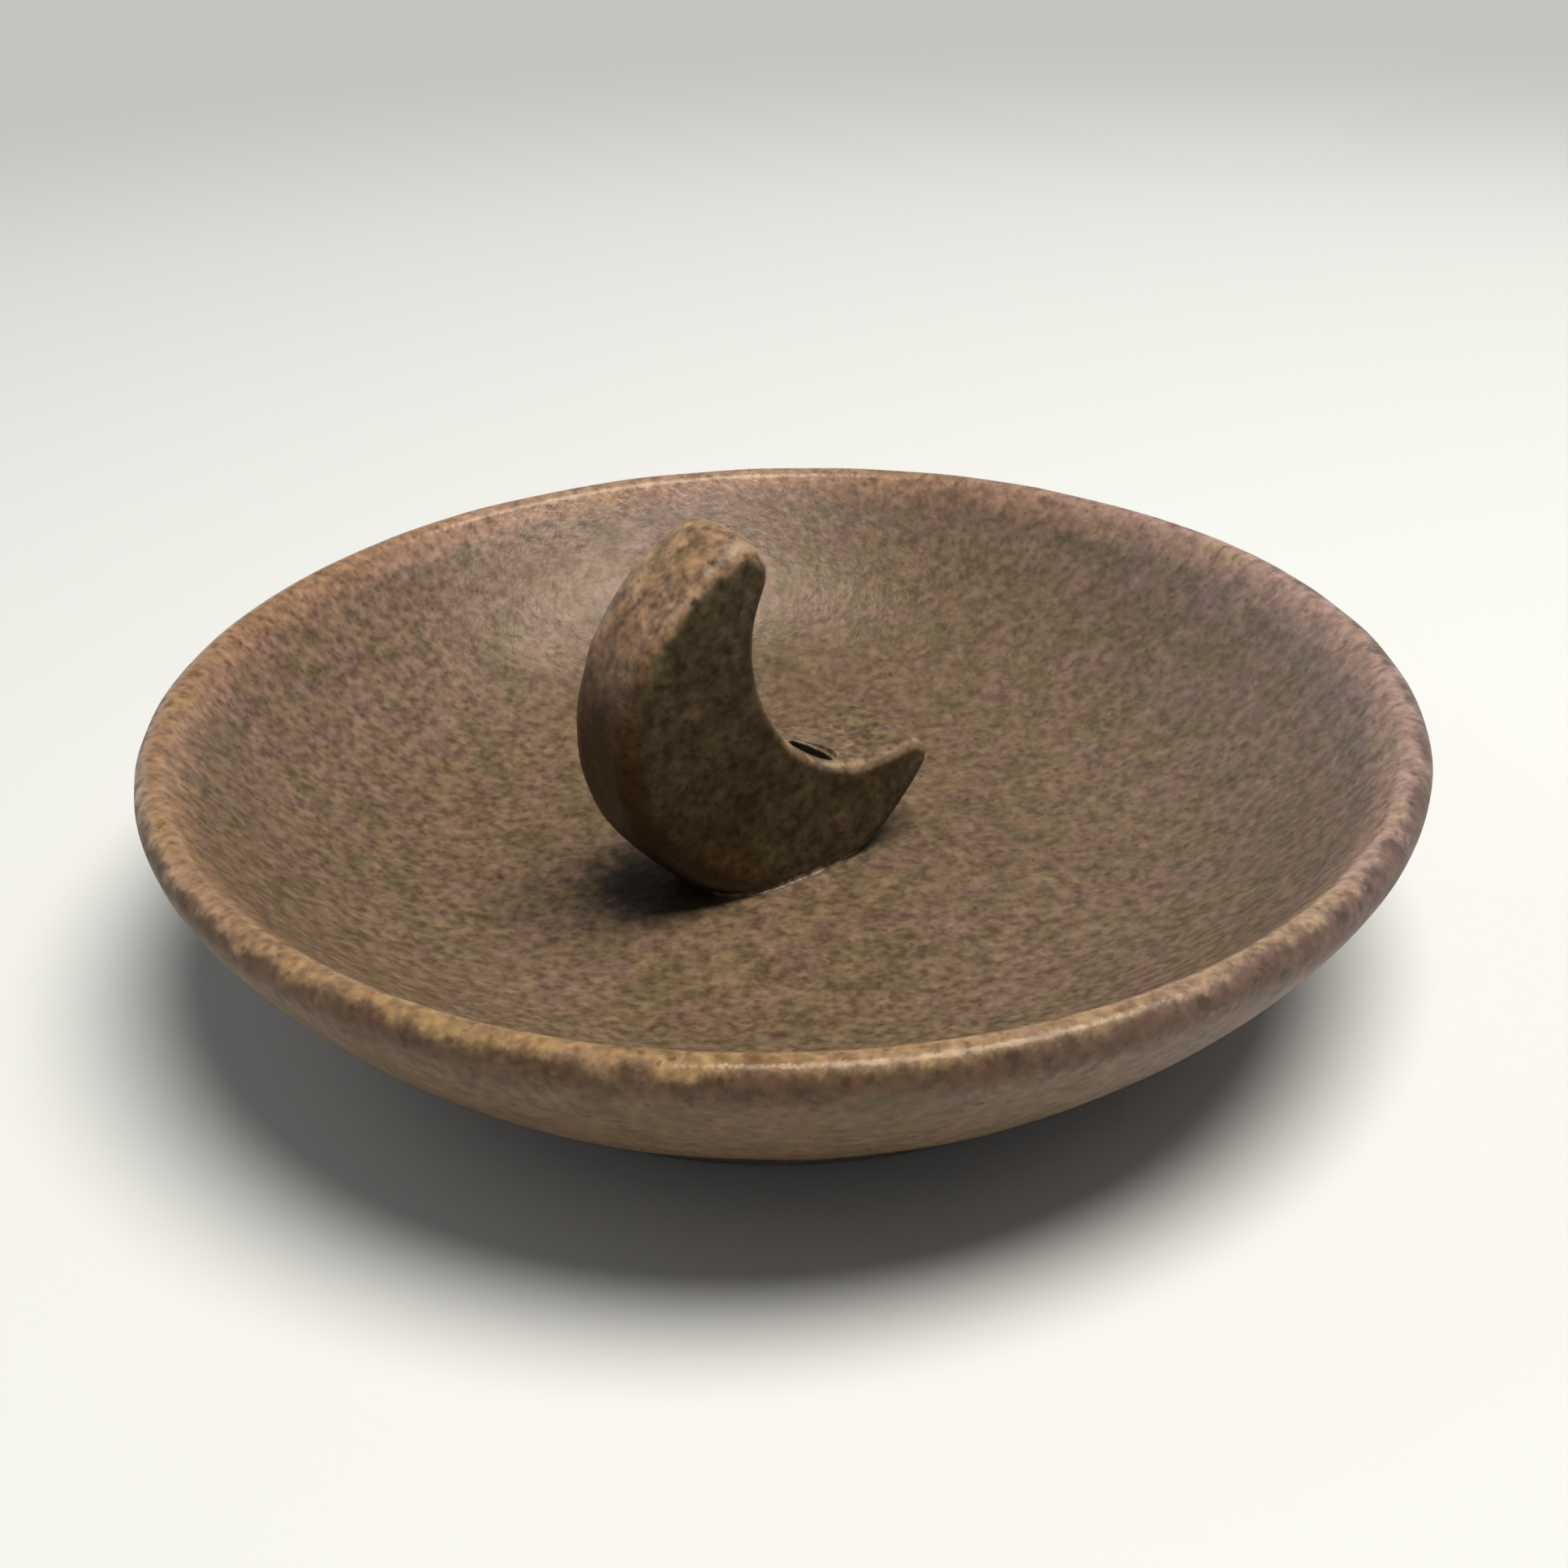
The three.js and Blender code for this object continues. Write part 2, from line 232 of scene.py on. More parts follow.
def make_sky():
    """The world: a dim sky with a soft glow in it. The camera sees a pale backdrop instead, and so does a
    reflection up to a little above the horizon, outside the glow."""
    world = bpy.data.worlds.new("sky")
    world.use_nodes = True
    sky = world.node_tree
    sky.nodes.clear()
    direction = put(sky, "ShaderNodeTexCoord").outputs["Generated"]
    height = put(sky, "ShaderNodeSeparateXYZ", {0: direction}).outputs["Z"]
    share = times(sky, seen_share(sky), ease(sky, height, BACKDROP_FADED, BACKDROP_FULL))
    towards = vector_calc(sky, "DOT_PRODUCT", direction, GLOW_WAY, output=1)
    glow = ease(sky, towards, GLOW_FADED, GLOW_FULL)
    colour = blend(sky, glow, blend(sky, share, SKY_LIGHT, BACKDROP), GLOW_LIGHT)
    ray = put(sky, "ShaderNodeLightPath")
    colour = blend(sky, ray.outputs["Is Camera Ray"], colour, BACKDROP)
    light = put(sky, "ShaderNodeBackground", {"Color": colour})
    put(sky, "ShaderNodeOutputWorld", {"Surface": light.outputs[0]})
    return world


bpy.context.scene.world = make_sky()
bpy.context.scene.view_settings.view_transform = "Standard"

# %% Floor
FLOOR_REACH = 8.0
FLOOR_COLOUR = (0.95, 0.95, 0.92, 1.0)
FLOOR_NEAR = 250
FLOOR_FAR = 520
FLOOR_ROUGHNESS = 0.75
FLOOR_SHINE = 0.1

corners = [(-FLOOR_REACH, -FLOOR_REACH, 0), (FLOOR_REACH, -FLOOR_REACH, 0),
           (FLOOR_REACH, FLOOR_REACH, 0), (-FLOOR_REACH, FLOOR_REACH, 0)]
floor_mesh = bpy.data.meshes.new("floor")
floor_mesh.from_pydata(corners, [], [(0, 1, 2, 3)])
floor = bpy.data.objects.new("floor", floor_mesh)
bpy.context.scene.collection.objects.link(floor)


def begin_material(name):
    """A new empty material, its node tree, and the place on the surface in millimetres."""
    material = bpy.data.materials.new(name)
    material.use_nodes = True
    tree = material.node_tree
    tree.nodes.clear()
    place = put(tree, "ShaderNodeTexCoord").outputs["Object"]
    return material, tree, scaled(tree, place, 1 / MM)


def mix_floor_paint():
    """Matt paint, pale round the dish. Far from the dish a camera or a reflection sees the backdrop."""
    material, tree, place = begin_material("floor_paint")
    apart = vector_calc(tree, "LENGTH", place, output=1)
    far = times(tree, ease(tree, apart, FLOOR_NEAR, FLOOR_FAR), seen_share(tree))
    inputs = {"Base Color": FLOOR_COLOUR, "Roughness": FLOOR_ROUGHNESS, "Specular IOR Level": FLOOR_SHINE}
    paint = put(tree, "ShaderNodeBsdfPrincipled", inputs).outputs[0]
    backdrop = put(tree, "ShaderNodeEmission", {"Color": BACKDROP}).outputs[0]
    both = put(tree, "ShaderNodeMixShader", {0: far, 1: paint, 2: backdrop})
    put(tree, "ShaderNodeOutputMaterial", {"Surface": both.outputs[0]})
    return material


floor_mesh.materials.append(mix_floor_paint())


# %% [markdown]
# ## Making a mesh from a grid of points
# Each piece is worked out as whole arrays: a grid of places, one row after another. Joining every place
# to its neighbours gives the faces. Every row here closes on itself, and a stack of rows can start and
# end in a single point, a pole, such as the middle of the dish's floor.


# %% Helpers for surfaces
def ring_faces(rows, count):
    """Quads between rows rings of count points, each ring closed on itself, numbered row by row."""
    row = np.arange(rows - 1)[:, None] * count
    step = np.arange(count)[None, :]
    after = (step + 1) % count
    return np.stack([row + step, row + after, row + count + after, row + count + step], -1).reshape(-1, 4)


def fan_faces(first, count, pole, turned):
    """Triangles from a closed ring that starts at number first to one pole, turned over if asked."""
    step = np.arange(count)
    after = (step + 1) % count
    faces = np.stack([first + step, first + after, np.full(count, pole)], -1)
    return faces[:, ::-1] if turned else faces


def pole_faces(rows, count):
    """The faces of a stack of rings with a pole below the first and one past the last. The poles are
    the last two points."""
    last = (rows - 1) * count
    return [ring_faces(rows, count), fan_faces(0, count, rows * count, turned=True),
            fan_faces(last, count, rows * count + 1, turned=False)]


def make_piece(name, places, faces, material):
    """A smooth-shaded object from an array of places in millimetres and arrays of faces."""
    mesh = bpy.data.meshes.new(name)
    mesh.from_pydata((places * MM).tolist(), [], [face for group in faces for face in group.tolist()])
    mesh.polygons.foreach_set("use_smooth", np.ones(len(mesh.polygons), bool))
    mesh.materials.append(material)
    piece = bpy.data.objects.new(name, mesh)
    bpy.context.scene.collection.objects.link(piece)
    print(name, "has", sum(len(face) - 2 for group in faces for face in group), "triangles")
    return piece


def write_values(piece, name, values):
    """Writes one number for each corner of the mesh, for its material to read."""
    written = piece.data.attributes.new(name, "FLOAT", "POINT")
    written.data.foreach_set("value", values.astype(np.float32))


def read_corners(piece, what):
    """One array of a mesh's corners: their places in metres, co, or their directions, normal."""
    found = np.empty(3 * len(piece.data.vertices))
    piece.data.vertices.foreach_get(what, found)
    return found.reshape(-1, 3)


# %% Helpers for curves and hand-made unevenness
LUMP_LENGTHS = (0.7, 1.5)


def lumps(places, length, seed, count=24):
    """Smooth random unevenness, mostly from -1 to 1: the sum of count sine waves of about that length,
    each in its own random direction and phase, divided by the root of twice their number."""
    random = np.random.default_rng(seed)
    headings = random.normal(size=(count, 3))
    headings /= np.linalg.norm(headings, axis=1)[:, None]
    lengths = length * random.uniform(*LUMP_LENGTHS, count)
    phases = random.uniform(0, 2 * np.pi, count)
    waves = np.sin(places @ (headings / lengths[:, None]).T * 2 * np.pi + phases)
    return waves.sum(1) / np.sqrt(2 * count)


def unevenness(places, kinds):
    """A few kinds of lumps added up and held from -1 to 1. A kind is its share, length and seed."""
    return np.clip(sum(share * lumps(places, length, seed) for share, length, seed in kinds), -1, 1)


def arc(centre_x, centre_y, radius, start, end, count):
    """count places along an arc, both ends included: the centre plus the radius in each direction."""
    angle = np.linspace(start, end, count)
    return np.stack([centre_x + radius * np.cos(angle), centre_y + radius * np.sin(angle)], -1)


def line(start, end, count):
    """count places along a straight line, both ends included."""
    return np.linspace(start, end, count)


def bezier(first, second, third, fourth, count):
    """A cubic curve with its four control points, as count places: their weights are the four terms
    of ((1 - t) + t) cubed."""
    t = np.linspace(0, 1, count)[:, None]
    points = [np.array(point, float) for point in (first, second, third, fourth)]
    weights = [(1 - t) ** 3, 3 * (1 - t) ** 2 * t, 3 * (1 - t) * t ** 2, t ** 3]
    return sum(weight * point for weight, point in zip(weights, points))


def turned_surface(section, count):
    """A section of (radius, height) carried round the axis: radius cos angle, radius sin angle, height,
    as one row of count places for each point of the section."""
    angle = np.linspace(0, 2 * np.pi, count, endpoint=False)
    radius, height = section[:, :1], section[:, 1:]
    level = np.broadcast_to(height, (len(section), count))
    return np.stack([radius * np.cos(angle), radius * np.sin(angle), level], -1)


# %% [markdown]
# ## One glaze for all three pieces
# The glaze is a matt brown with iron in it. Close up it is a mosaic: olive and mauve flecks about a
# millimetre across, finer dark specks of iron, and a few pale ones. Each is a cloud texture read in
# millimetres, so its scale is the real one on every piece. Where the glaze runs thin over an edge it
# breaks to tan, and where it gathers it turns a dark red brown. Those places come from the piece
# itself, so this function takes them as two values, thin and thick, and returns the colour.

# %% Glaze colours and sizes
GLAZE_BASE = (0.195, 0.130, 0.074, 1.0)
GLAZE_OLIVE = (0.160, 0.116, 0.060, 1.0)
GLAZE_MAUVE = (0.196, 0.123, 0.081, 1.0)
GLAZE_TAN = (0.370, 0.215, 0.122, 1.0)
GLAZE_OCHRE = (0.385, 0.235, 0.108, 1.0)
GLAZE_RUST = (0.190, 0.098, 0.056, 1.0)
GLAZE_RED_BROWN = (0.135, 0.069, 0.039, 1.0)
IRON_SPECK = (0.055, 0.034, 0.018, 1.0)
PALE_SPECK = (0.330, 0.235, 0.130, 1.0)
GLAZE_SHINE = 0.4
GLAZE_SHINE_COLOUR = (1.0, 0.84, 0.68, 1.0)
STIR_SIZE = 1.0
STIR_REACH = 0.9
STIR_DETAIL = 1.0
SPOT_SOFTNESS = 0.5
PEEL_HEIGHT = 0.09

# %% Glaze clouds and their limits
# A cloud is its size, detail, roughness and seed. Specks are their spacing, reach, share and seed.
FLECKS = (2.2, 2.0, 0.6, 11.0)
FLECK_SHADES = (0.84, 1.16)
GRAINS = (1.0, 1.5, 0.6, 3.0)
GRAIN_SHADES = (0.52, 1.48)
MAUVE_DRIFT = (4.0, 4.0, 0.65, 31.0)
OLIVE_DRIFT = (4.0, 4.0, 0.65, 47.0)
DRIFT_EDGE = (0.49, 0.61)
GOLD_DRIFT = (8.0, 2.0, 0.6, 61.0)
GOLD_EDGE = (0.45, 0.65)
RUST_STREAKS = (1.5, 3.0, 0.65, 7.0)
RUST_EDGE = (0.48, 0.68)
RUST_STRENGTH = 0.6
IRON_SPECKS = (1.0, 0.45, 0.6, 53.0)
IRON_STRENGTH = 0.45
PALE_SPECKS = (1.7, 0.315, 0.4, 71.0)
PALE_STRENGTH = 0.4
PEEL = (1.1, 2.5, 0.6, 17.0)
GLOSS_DRIFT = (3.3, 2.0, 0.5, 23.0)
SATIN = (0.30, 0.42)


# %% Mix the glaze
def specks(tree, place, spacing, reach, share, seed):
    """Soft round spots about points scattered at a spacing. Only that share of the points has a spot,
    and a spot's reach is a random part of the largest, which is given in spacings."""
    moved = vector_calc(tree, "ADD", place, (seed, seed, -seed))
    cells = put(tree, "ShaderNodeTexVoronoi", {"Vector": moved, "Scale": 1 / spacing})
    chance = put(tree, "ShaderNodeSeparateColor", {0: cells.outputs["Color"]}).outputs[0]
    size = spread(tree, chance, 0.0, reach, 1 - share, 1.0)
    inside = calc(tree, "SUBTRACT", size, cells.outputs["Distance"])
    return ease(tree, inside, 0.0, SPOT_SOFTNESS * reach)


def glaze_colour(tree, place, thin, thick, run_place, grain=1.0, gild=0.0):
    """The glaze's colour at a place in millimetres. thin and thick are 0 to 1. run_place is the same
    place, squeezed along the way that the glaze ran, so the rust on thin glaze is drawn out there.
    grain is 1 for the full light and dark of the flecks, and 0 for none. gild tips thin glaze from tan
    towards ochre where it is above 0."""
    mauve = ease(tree, cloud(tree, place, *MAUVE_DRIFT), *DRIFT_EDGE)
    olive = ease(tree, cloud(tree, place, *OLIVE_DRIFT), *DRIFT_EDGE)
    body = blend(tree, olive, GLAZE_BASE, GLAZE_OLIVE)
    body = blend(tree, mauve, body, GLAZE_MAUVE)
    gold = ease(tree, calc(tree, "ADD", cloud(tree, place, *GOLD_DRIFT), gild), *GOLD_EDGE)
    rust = ease(tree, cloud(tree, run_place, *RUST_STREAKS), *RUST_EDGE)
    broken = blend(tree, gold, GLAZE_TAN, GLAZE_OCHRE)
    broken = blend(tree, times(tree, rust, RUST_STRENGTH), broken, GLAZE_RUST)
    body = blend(tree, thin, body, broken)
    body = blend(tree, thick, body, GLAZE_RED_BROWN)
    coarse = spread(tree, cloud(tree, place, *FLECKS), *FLECK_SHADES)
    fine = spread(tree, cloud(tree, place, *GRAINS), *GRAIN_SHADES)
    body = shade(tree, grain, body, times(tree, coarse, fine))
    inputs = {"Vector": place, "Scale": 1 / STIR_SIZE, "Detail": STIR_DETAIL}
    stir = put(tree, "ShaderNodeTexNoise", inputs).outputs["Color"]
    stirred = vector_calc(tree, "ADD", place, scaled(tree, stir, STIR_REACH))
    iron = times(tree, specks(tree, stirred, *IRON_SPECKS), IRON_STRENGTH)
    body = blend(tree, iron, body, IRON_SPECK)
    pale = times(tree, specks(tree, stirred, *PALE_SPECKS), PALE_STRENGTH)
    return blend(tree, pale, body, PALE_SPECK)


def glaze_coat(tree, place, colour, gloss=SATIN, matt=0.0):
    """The glaze as a satin coat: its roughness drifts between the limits in gloss, and its skin has a
    fine orange peel. matt is more roughness, for where the coat is duller."""
    peel = cloud(tree, place, *PEEL)
    bump = put(tree, "ShaderNodeBump", {"Strength": 1.0, "Distance": PEEL_HEIGHT * MM, "Height": peel})
    drift = spread(tree, cloud(tree, place, *GLOSS_DRIFT), *gloss)
    inputs = {"Base Color": colour, "Roughness": calc(tree, "ADD", drift, matt),
              "Specular IOR Level": GLAZE_SHINE, "Specular Tint": GLAZE_SHINE_COLOUR,
              "Normal": bump.outputs[0]}
    return put(tree, "ShaderNodeBsdfPrincipled", inputs).outputs[0]


# %% [markdown]
# ## The dish
# The dish is a body of revolution, so its surface has two parameters: the angle round the axis, and the
# way along a half section. That way starts under the base, goes down and up the foot ring, up the wall,
# over the rolled lip, and down inside to the middle of the floor. The overall radius and height are
# read from the measured solid. A dish from a potter's hands is never quite even, so the fine surface is
# drawn in a little by smooth lumps, never out, and the foot and the middle of the floor stay flat.

# %% Sizes of the dish
dish_low, dish_high = (np.array(corner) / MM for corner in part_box("dish"))
RIM_RADIUS = dish_high[0]
RIM_HEIGHT = dish_high[2]
LIP_RADIUS = 1.7
SHOULDER_HEIGHT = 3.9
WALL_SWEEP = 6.4
WALL_LIFT = 1.85
FOOT_RADIUS = 37.4
FOOT_HEIGHT = 2.4
FOOT_WIDTH = 4.4
FOOT_ROUND = 0.7
RECESS_HEIGHT = 1.9
INNER_SLOPE = math.radians(50)
INNER_REACH = 15
FLOOR_SWEEP = 14.5
FLOOR_RADIUS = 20
FLOOR_HEIGHT = 6.1
STEPS_AROUND = 400
POLE_GAP_BELOW = 2
POLE_GAP_ABOVE = 1
DISH_UNEVENNESS = 0.10
DISH_LUMPS = ((0.6, 30, 3), (0.4, 9, 4))
EVEN_FLOOR = 0.6


# %% The dish's surface
def dish_section():
    """The half section as places (radius, height): arcs at the foot's corners, a cubic curve up the
    wall, an arc over the lip, and a cubic curve down to the floor. Each part's last number is how many
    places it has."""
    inner = FOOT_RADIUS - FOOT_WIDTH
    lip_x, lip_y = RIM_RADIUS - LIP_RADIUS, RIM_HEIGHT - LIP_RADIUS
    wall_x, wall_y = FOOT_RADIUS + FOOT_ROUND, FOOT_HEIGHT + FOOT_ROUND * WALL_LIFT / WALL_SWEEP
    corner_x, knee_y = inner - FOOT_ROUND, FOOT_HEIGHT - FOOT_ROUND
    quarter = math.pi / 2
    recess = line((POLE_GAP_BELOW, RECESS_HEIGHT), (corner_x, RECESS_HEIGHT), 12)[:-1]
    corner = arc(corner_x, RECESS_HEIGHT - FOOT_ROUND, FOOT_ROUND, quarter, 0, 6)
    heel = arc(inner + FOOT_ROUND, FOOT_ROUND, FOOT_ROUND, 2 * quarter, 3 * quarter, 6)
    toe = arc(FOOT_RADIUS - FOOT_ROUND, FOOT_ROUND, FOOT_ROUND, -quarter, 0, 6)
    knee = bezier((FOOT_RADIUS, knee_y), (FOOT_RADIUS, FOOT_HEIGHT), (FOOT_RADIUS, FOOT_HEIGHT),
                  (wall_x, wall_y), 7)
    wall = bezier((wall_x, wall_y), (wall_x + WALL_SWEEP, wall_y + WALL_LIFT),
                  (RIM_RADIUS, lip_y - SHOULDER_HEIGHT), (RIM_RADIUS, lip_y), 45)
    lip = arc(lip_x, lip_y, LIP_RADIUS, 0, quarter + INNER_SLOPE, 30)
    run = INNER_REACH * np.array([math.cos(INNER_SLOPE), math.sin(INNER_SLOPE)])
    inside = bezier(lip[-1], lip[-1] - run, (FLOOR_RADIUS + FLOOR_SWEEP, FLOOR_HEIGHT),
                    (FLOOR_RADIUS, FLOOR_HEIGHT), 60)
    flat = line((FLOOR_RADIUS, FLOOR_HEIGHT), (POLE_GAP_ABOVE, FLOOR_HEIGHT), 20)[1:]
    return np.concatenate([recess, corner, heel, toe, knee, wall[1:], lip[1:], inside[1:], flat])


def dish_surface():
    """The turned section with a pole under the base and one on the floor, and for each place its
    distance along the section from the crest of the lip, which is positive on the outside."""
    section = dish_section()
    steps = np.linalg.norm(np.diff(section, axis=0), axis=1)
    along = np.concatenate([[0], np.cumsum(steps)])
    from_crest = along[section[:, 1].argmax()] - along
    slope = np.gradient(section, along, axis=0)
    facing = np.stack([slope[:, 1], -slope[:, 0]], -1)
    places = turned_surface(section, STEPS_AROUND).reshape(-1, 3)
    outward = turned_surface(facing, STEPS_AROUND).reshape(-1, 3)
    radius = np.hypot(places[:, 0], places[:, 1])
    above_foot = np.clip((places[:, 2] - FOOT_HEIGHT) / FOOT_HEIGHT, 0, 1)
    past_floor = np.clip((radius - EVEN_FLOOR * FLOOR_RADIUS) / FLOOR_RADIUS, 0, 1)
    drawn_in = DISH_UNEVENNESS * (1 - unevenness(places, DISH_LUMPS)) * above_foot * past_floor
    places = places - outward * drawn_in[:, None]
    poles = np.array([[0, 0, RECESS_HEIGHT], [0, 0, FLOOR_HEIGHT]])
    ends = [from_crest[0], from_crest[-1]]
    return np.concatenate([places, poles]), np.concatenate([np.repeat(from_crest, STEPS_AROUND), ends])


# %% [markdown]
# ## The dish's finish
# On the dish the glaze is thin over the crest of the lip, from a few millimetres inside it to just
# outside, and it gathers under the lip as a dark belt with a ragged lower edge. Fired glaze also runs:
# over the lip the rust in it is drawn out across the crest. The distance from the crest is written on
# the mesh, so the material knows both. The outside is a little darker and the front of the lip more
# golden. The right side is tinted cool and pale as a painted reflection, the wall at the back left is
# lightened as painted light, and the rim at the back as a painted reflection. A painted shadow darkens
# the floor at the crescent's back. The foot ring is wiped bare before the firing, and shows the clay.

# %% Bare clay
CLAY_COLOUR = (0.34, 0.235, 0.15, 1.0)
CLAY_SAND_COLOUR = (0.24, 0.165, 0.105, 1.0)
CLAY_SAND = (0.5, 3.0, 0.7, 41.0)
CLAY_SAND_EDGE = (0.3, 0.7)
CLAY_ROUGHNESS = 0.9


def bare_clay(tree, place):
    """Fired clay with no glaze: matt, with sand in it."""
    sand = cloud(tree, place, *CLAY_SAND)
    colour = blend(tree, ease(tree, sand, *CLAY_SAND_EDGE), CLAY_COLOUR, CLAY_SAND_COLOUR)
    grit = put(tree, "ShaderNodeBump", {"Strength": 1.0, "Distance": PEEL_HEIGHT * MM, "Height": sand})
    inputs = {"Base Color": colour, "Roughness": CLAY_ROUGHNESS, "Normal": grit.outputs[0]}
    return put(tree, "ShaderNodeBsdfPrincipled", inputs).outputs[0]


# %% Painted shadow on the dish's floor
# Painted shadow: a near black that darkens the floor where the crescent's shadow falls, and the crease
# under the crescent.
PAINTED_SHADE_DARK = (0.016, 0.011, 0.007, 1.0)
SHADOW_PLACE = (-11.2, -4.6, 0)
SHADOW_TURN = math.radians(35.8)
SHADOW_SHRINK = (1 / 6.0, 1 / 7.0, 0)
SHADOW_CLOUD = (1.5, 3.0)
SHADOW_RAGGED = (-0.25, 0.25)
SHADOW_EDGE = (1.3, 0.4)
SHADOW_ABOVE = (3.0, 5.0)
SHADOW_STRENGTH = 0.85


def painted_shadow(tree, place):
    """1 for painted shadow: the crescent's shadow on the floor, in the corner between the floor and the
    crescent's round back. It falls to 0 at the edge of an ellipse that is turned as the crescent is."""
    inputs = {"Vector": place, "Location": SHADOW_PLACE, "Rotation": (0, 0, SHADOW_TURN)}
    turned = put(tree, "ShaderNodeMapping", inputs, vector_type="TEXTURE").outputs[0]
    reach = vector_calc(tree, "LENGTH", vector_calc(tree, "MULTIPLY", turned, SHADOW_SHRINK), output=1)
    ragged = calc(tree, "ADD", reach, spread(tree, cloud(tree, place, *SHADOW_CLOUD), *SHADOW_RAGGED))
    return ease(tree, ragged, *SHADOW_EDGE)


# %% Colours and limits of the dish's finish
# Limits are in millimetres: from the crest of the lip (positive outside), from the axis, or across.
EDGE_CLOUD = (2.6, 4.0, 0.65, 5.0)
EDGE_WANDER = (-1.0, 1.0)
RUN_SQUEEZE = 0.75
WIDER_RIGHT = (0.0, 0.8, 15.0, 45.0)
THIN_INSIDE = (-5.0, -1.2)
THIN_OUTSIDE = (2.1, 0.6)
BELT_TOP = (0.8, 2.2)
BELT_BOTTOM = (5.4, 3.2)
BELT_STRENGTH = 0.7
BELT_SPOTS = (1.4, 2.0, 0.6, 91.0)
BELT_SPOT_EDGE = (0.56, 0.68)
BELT_SPOT_STRENGTH = 0.6
GRAIN_OUTWARD = (1.0, 0.6, -4.0, 2.0)
GRAIN_BACKWARD = (0.88, 0.68, -7.0, 28.0)
GILD_FORWARD = (0.14, -0.08, -50.0, 10.0)
OUTSIDE_TONE = (0.87, 0.84, 0.80, 1.0)
OUTSIDE = (1.0, 3.0)
OUTSIDE_DULL = (0.0, 3.0)
OUTSIDE_MATT = 0.22
CREST_GLOSS = 0.13
# Painted reflection: a cool, pale tone on the right side of the dish.
RIGHT_REFLECTION_TONE = (1.20, 1.34, 1.98, 1.0)
RIGHT_REFLECTION_SIDE = (0.0, 54.0)
RIGHT_REFLECTION_INSIDE = (0.35, 1.0, -10.0, 0.0)
# Painted light: a paler tone on the wall at the back left.
BACK_LEFT_LIGHT_TONE = (1.16, 1.13, 1.29, 1.0)
BACK_LEFT_LIGHT_SIDE = (30.0, 58.0)
BACK_LEFT_LIGHT_RADIUS = (29.0, 41.0)
BACK_LEFT_LIGHT_CREST = (0.0, -3.0)
# Painted reflection: a paler tone on the rim at the back.
RIM_REFLECTION_TONE = (1.18, 1.24, 1.41, 1.0)
RIM_REFLECTION_BACK = (28.0, 44.0)
RIM_REFLECTION_INSIDE = (-9.0, -4.0)
RIM_REFLECTION_RIGHT = (22.0, -4.0)
WIPE_SIZE = 4.0
WIPE_WANDER = (-0.1, 0.1)
WIPED_BELOW = (1.5, 1.2)
WIPED_BEYOND = (32.0, 32.8)


# %% Mix the dish's finish
def run_over_lip(tree, level, away):
    """A place along the rim, with the way across the lip squeezed, so that a cloud read there is drawn
    out across the crest: the heading times the rim's radius, and the distance from the crest upward."""
    heading = vector_calc(tree, "NORMALIZE", level)
    girth = vector_calc(tree, "MULTIPLY", heading, (RIM_RADIUS, RIM_RADIUS, 0))
    across = put(tree, "ShaderNodeCombineXYZ", {2: times(tree, away, RUN_SQUEEZE)}).outputs[0]
    return vector_calc(tree, "ADD", girth, across)


def tones_and_painted_light(tree, colour, x, y, radius, edge):
    """The colour with the outside's darker tone, a cool painted reflection on the right side, painted
    light on the back left wall and a painted reflection on the rim at the back, each a tone that comes in
    with its own limits."""
    colour = tint(tree, ease(tree, edge, *OUTSIDE), colour, OUTSIDE_TONE)
    right_reflection = times(tree, ease(tree, x, *RIGHT_REFLECTION_SIDE), spread(tree, edge, *RIGHT_REFLECTION_INSIDE))
    colour = tint(tree, right_reflection, colour, RIGHT_REFLECTION_TONE)
    back_left_light = times(tree, ease(tree, calc(tree, "SUBTRACT", y, x), *BACK_LEFT_LIGHT_SIDE),
                     ease(tree, radius, *BACK_LEFT_LIGHT_RADIUS), ease(tree, edge, *BACK_LEFT_LIGHT_CREST))
    colour = tint(tree, back_left_light, colour, BACK_LEFT_LIGHT_TONE)
    rim_reflection = times(tree, ease(tree, y, *RIM_REFLECTION_BACK), ease(tree, edge, *RIM_REFLECTION_INSIDE),
                     ease(tree, x, *RIM_REFLECTION_RIGHT))
    return tint(tree, rim_reflection, colour, RIM_REFLECTION_TONE)


